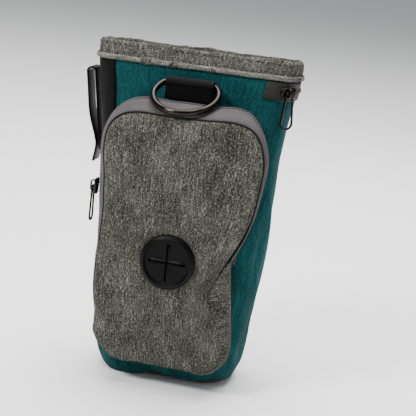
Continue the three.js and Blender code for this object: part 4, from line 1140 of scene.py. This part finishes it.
def sliders():
    for name, place, degrees, size, lying, pull in (
        ("pocket", POCKET_SLIDER_PLACE, POCKET_SLIDER_TURN, (8.5, 7, 6.5), False, (19, 6, 1.1)),
        ("side", SIDE_SLIDER_PLACE, SIDE_SLIDER_TURN, (8.5, 6.4, 5), True, (19, 7.5, 1.2)),
    ):
        plate, bail = zip_slider(name + "_slider", place, degrees, *size, lying)
        settle(plate, name + "_slider", "dark_metal", name + "_slider")
        settle(bail, name + "_slider", "dark_metal")
        piece = zip_pull(name + "_pull_wire", place, degrees, *pull)
        settle(piece, name + "_pull", "dark_metal", name + "_pull")


sliders()

# ---- Pieces that lie on the bag ----

# Columns of the bag's outline: its back seams, the side zipper's front end, its tab and the rear pocket.
SEAM_RIGHT, SEAM_LEFT, SIDE_ZIP_START = 93, 153, 66
TAB_COLUMNS, REAR_POCKET_COLUMNS = range(60, 69), range(95, 152)
SIDE_TEETH_PITCH, SIDE_TOOTH = 0.85, (0.85, 0.36, 0.55)


def on_bag(heights, columns, proud):
    """A band of the bag's surface, stood off it, with its normals."""
    heights = np.asarray(heights, float)
    points = draped(outline(heights, np.zeros(len(heights))))
    out = facing(points)
    stand = np.asarray(proud, float)
    stand = stand[:, None, None] if stand.ndim == 1 else stand
    return (points + out * stand)[:, columns], out[:, columns]


def zip_band(name, columns):
    """Both tapes and the teeth of the zipper below the cuff, over a run of columns."""
    for part, low, high in (("lower", -4.6, -0.3), ("upper", 0.3, 4.6)):
        points, _ = on_bag(ZIP2_Z + np.linspace(low, high, 6), columns, 1.0)
        piece = thicken(grid(f"{name}_tape_{part}_cloth", points, TAPE), 0.6)
        stretch(piece, "zip_tape", f"{name}_tape_{part}")
    lines, out = on_bag(ZIP2_Z + np.array([-1, 0, 1]), columns, 1.15)
    along = lengths(lines[1])
    places = np.arange(0.5, along[-1], SIDE_TEETH_PITCH)
    centres = at(places, along, lines[1])
    centres[:, 2] += np.where(np.arange(len(places)) % 2 == 0, 0.35, -0.35)
    up = np.broadcast_to((0.0, 0, 1), centres.shape)
    piece = beads(f"{name}_teeth", centres, up, at(places, along, out[1]), SIDE_TOOTH, COIL)
    stretch(piece, "zip_coil", f"{name}_coil")


zip_band("side_zip", range(SIDE_ZIP_START, SEAM_RIGHT + 1))
zip_band("rear_zip", range(SEAM_RIGHT, SEAM_LEFT + 1))


def zip_tab():
    """A folded tab of tape over the zipper's front end, coloured darker than the tape as painted shade under
    the cuff.
    """
    heights = ZIP2_Z + np.linspace(-4.4, 4.4, 12)
    edge = np.abs(np.linspace(-1, 1, 12))
    points, _ = on_bag(heights, TAB_COLUMNS, 1.75 - 0.35 * edge**4)
    piece = thicken(grid("side_zip_tab_cloth", points, TAB_PAINTED_SHADE), 0.8)
    settle(piece, "pouch", "zip_tape", "side_zip_tab")


def rear_pocket():
    heights = np.concatenate([np.linspace(25, 30, 8), np.linspace(32, 150, 44), np.linspace(151.5, 156.8, 8)])
    swell = 0.5 * smoothstep(25, 60, heights) * (1 - smoothstep(110, 156, heights))
    turned = 0.5 * np.exp(-((heights - 27) / 1.5) ** 2) - 0.8 * (heights < 25.5)
    points, out = on_bag(heights, REAR_POCKET_COLUMNS, 1.15 + swell + turned)
    piece = thicken(grid("rear_pocket_cloth", points, TEAL), 1.0)
    stretch(piece, "teal_fabric", "rear_pocket")
    for name, row in (("low", 9), ("high", 52)):
        line = points[row] + out[row] * 0.1
        stretch(stitches(f"rear_pocket_stitches_{name}", line, out[row], TEAL_THREAD), "teal_fabric")


BELT_LOW, BELT_HIGH, BELT_HALF, BELT_STAND = 67, 133, 19, 6.6
BELT_FOOT = ((0, 0), (3, 0), (7, 0), (10, 4.2), (14, 6))  # (run from an end, stand off the wall)


def belt_loop():
    """A strap of webbing that stands off the back wall, sewn down at both ends."""

    def wall(z):
        return float(section(z)[2]) + 2.4

    low, high, middle = BELT_LOW, BELT_HIGH, (BELT_LOW + BELT_HIGH) / 2
    line = [(0, wall(low + run) + stand, low + run) for run, stand in BELT_FOOT]
    line.append((0, wall(middle) + BELT_STAND, middle))
    line += [(0, wall(high - run) + stand, high - run) for run, stand in BELT_FOOT[::-1]]
    wide = rounded(2 * BELT_HALF, 1.4, 0.5)
    piece = sweep("belt_loop_webbing", smooth_path(line, 80), (-1, 0, 0), wide, WEBBING)
    settle(piece, "back_wall", "webbing", "belt_loop")
    edge = BELT_HALF - 1.6
    for name, z0, z1 in (("low", low + 1.3, low + 5.6), ("high", high - 5.6, high - 1.3)):
        a, b, c, d = ((x, wall(z) + 0.75, z) for x, z in ((-edge, z0), (edge, z0), (edge, z1), (-edge, z1)))
        path = even(np.array([a, b, c, d, a, c]), 160)
        sewn = stitches(f"belt_loop_stitches_{name}", path, (0, 1, 0), THREAD, 2.4)
        settle(sewn, "back_wall", "webbing")


def seam_piping():
    heights = np.linspace(8, 155, 70)
    for name, column in (("left", SEAM_LEFT), ("right", SEAM_RIGHT)):
        line = on_bag(heights, slice(column, column + 1), 0.75)[0][:, 0]
        piece = sweep(f"seam_piping_{name}_cord", line, (1, 0, 0), circle(0.9, 12), DARK_PIPING_AND_GROOVE_SHADE)
        stretch(piece, "webbing", f"seam_piping_{name}")


def zip_stop():
    """A crimped stop where the pocket's zipper ends, on the right."""
    crest = slump(pocket_side(True, bands(0.9, 1.1, 3)), 0.5)
    made, out = crest[1], facing(crest, closed=False)[1, 0]
    path = smooth_path(np.array([made[0] - (0, 0, 2.2), made[0], made[1]]) + out * 0.7, 8)
    side = np.cross(out, (0, 0, 1))
    piece = sweep("zip_stop_metal", path, side, rounded(4, 1.4, 0.5), GUNMETAL)
    settle(piece, "pouch", "dark_metal", "zip_stop")


CLAMP_PROFILE = (
    (12.4, -4.2), (12.4, -3.3), (12.6, -3.15), (14.7, -3.15), (15, -3.4), (15, -4.1), (14.7, -4.35),
    (12.7, -4.35), (12.4, -4.2),
)


def dispenser_ring():
    """The ring that clamps the dispenser from inside the pocket's panel."""
    turn = np.linspace(0, 2 * math.pi, 72, endpoint=False)
    rows = [on_disc(r * np.cos(turn), r * np.sin(turn), rise) for r, rise in CLAMP_PROFILE]
    piece = grid("dispenser_ring_rubber", np.array(rows[::-1]), RUBBER, closed=True)
    settle(piece, "pouch", "rubber", "dispenser_ring")


zip_tab()
rear_pocket()
belt_loop()
seam_piping()
zip_stop()
dispenser_ring()


def dress_hidden_parts():
    """The board, stiffeners and magnets keep their CAD shapes."""
    for name, material in (
        ("base_board", BOARD), ("stiffener_front", BOARD), ("stiffener_back", BOARD),
        ("magnet_front", MAGNET), ("magnet_back", MAGNET),
    ):
        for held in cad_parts[name].material_slots:
            held.material = material


dress_hidden_parts()
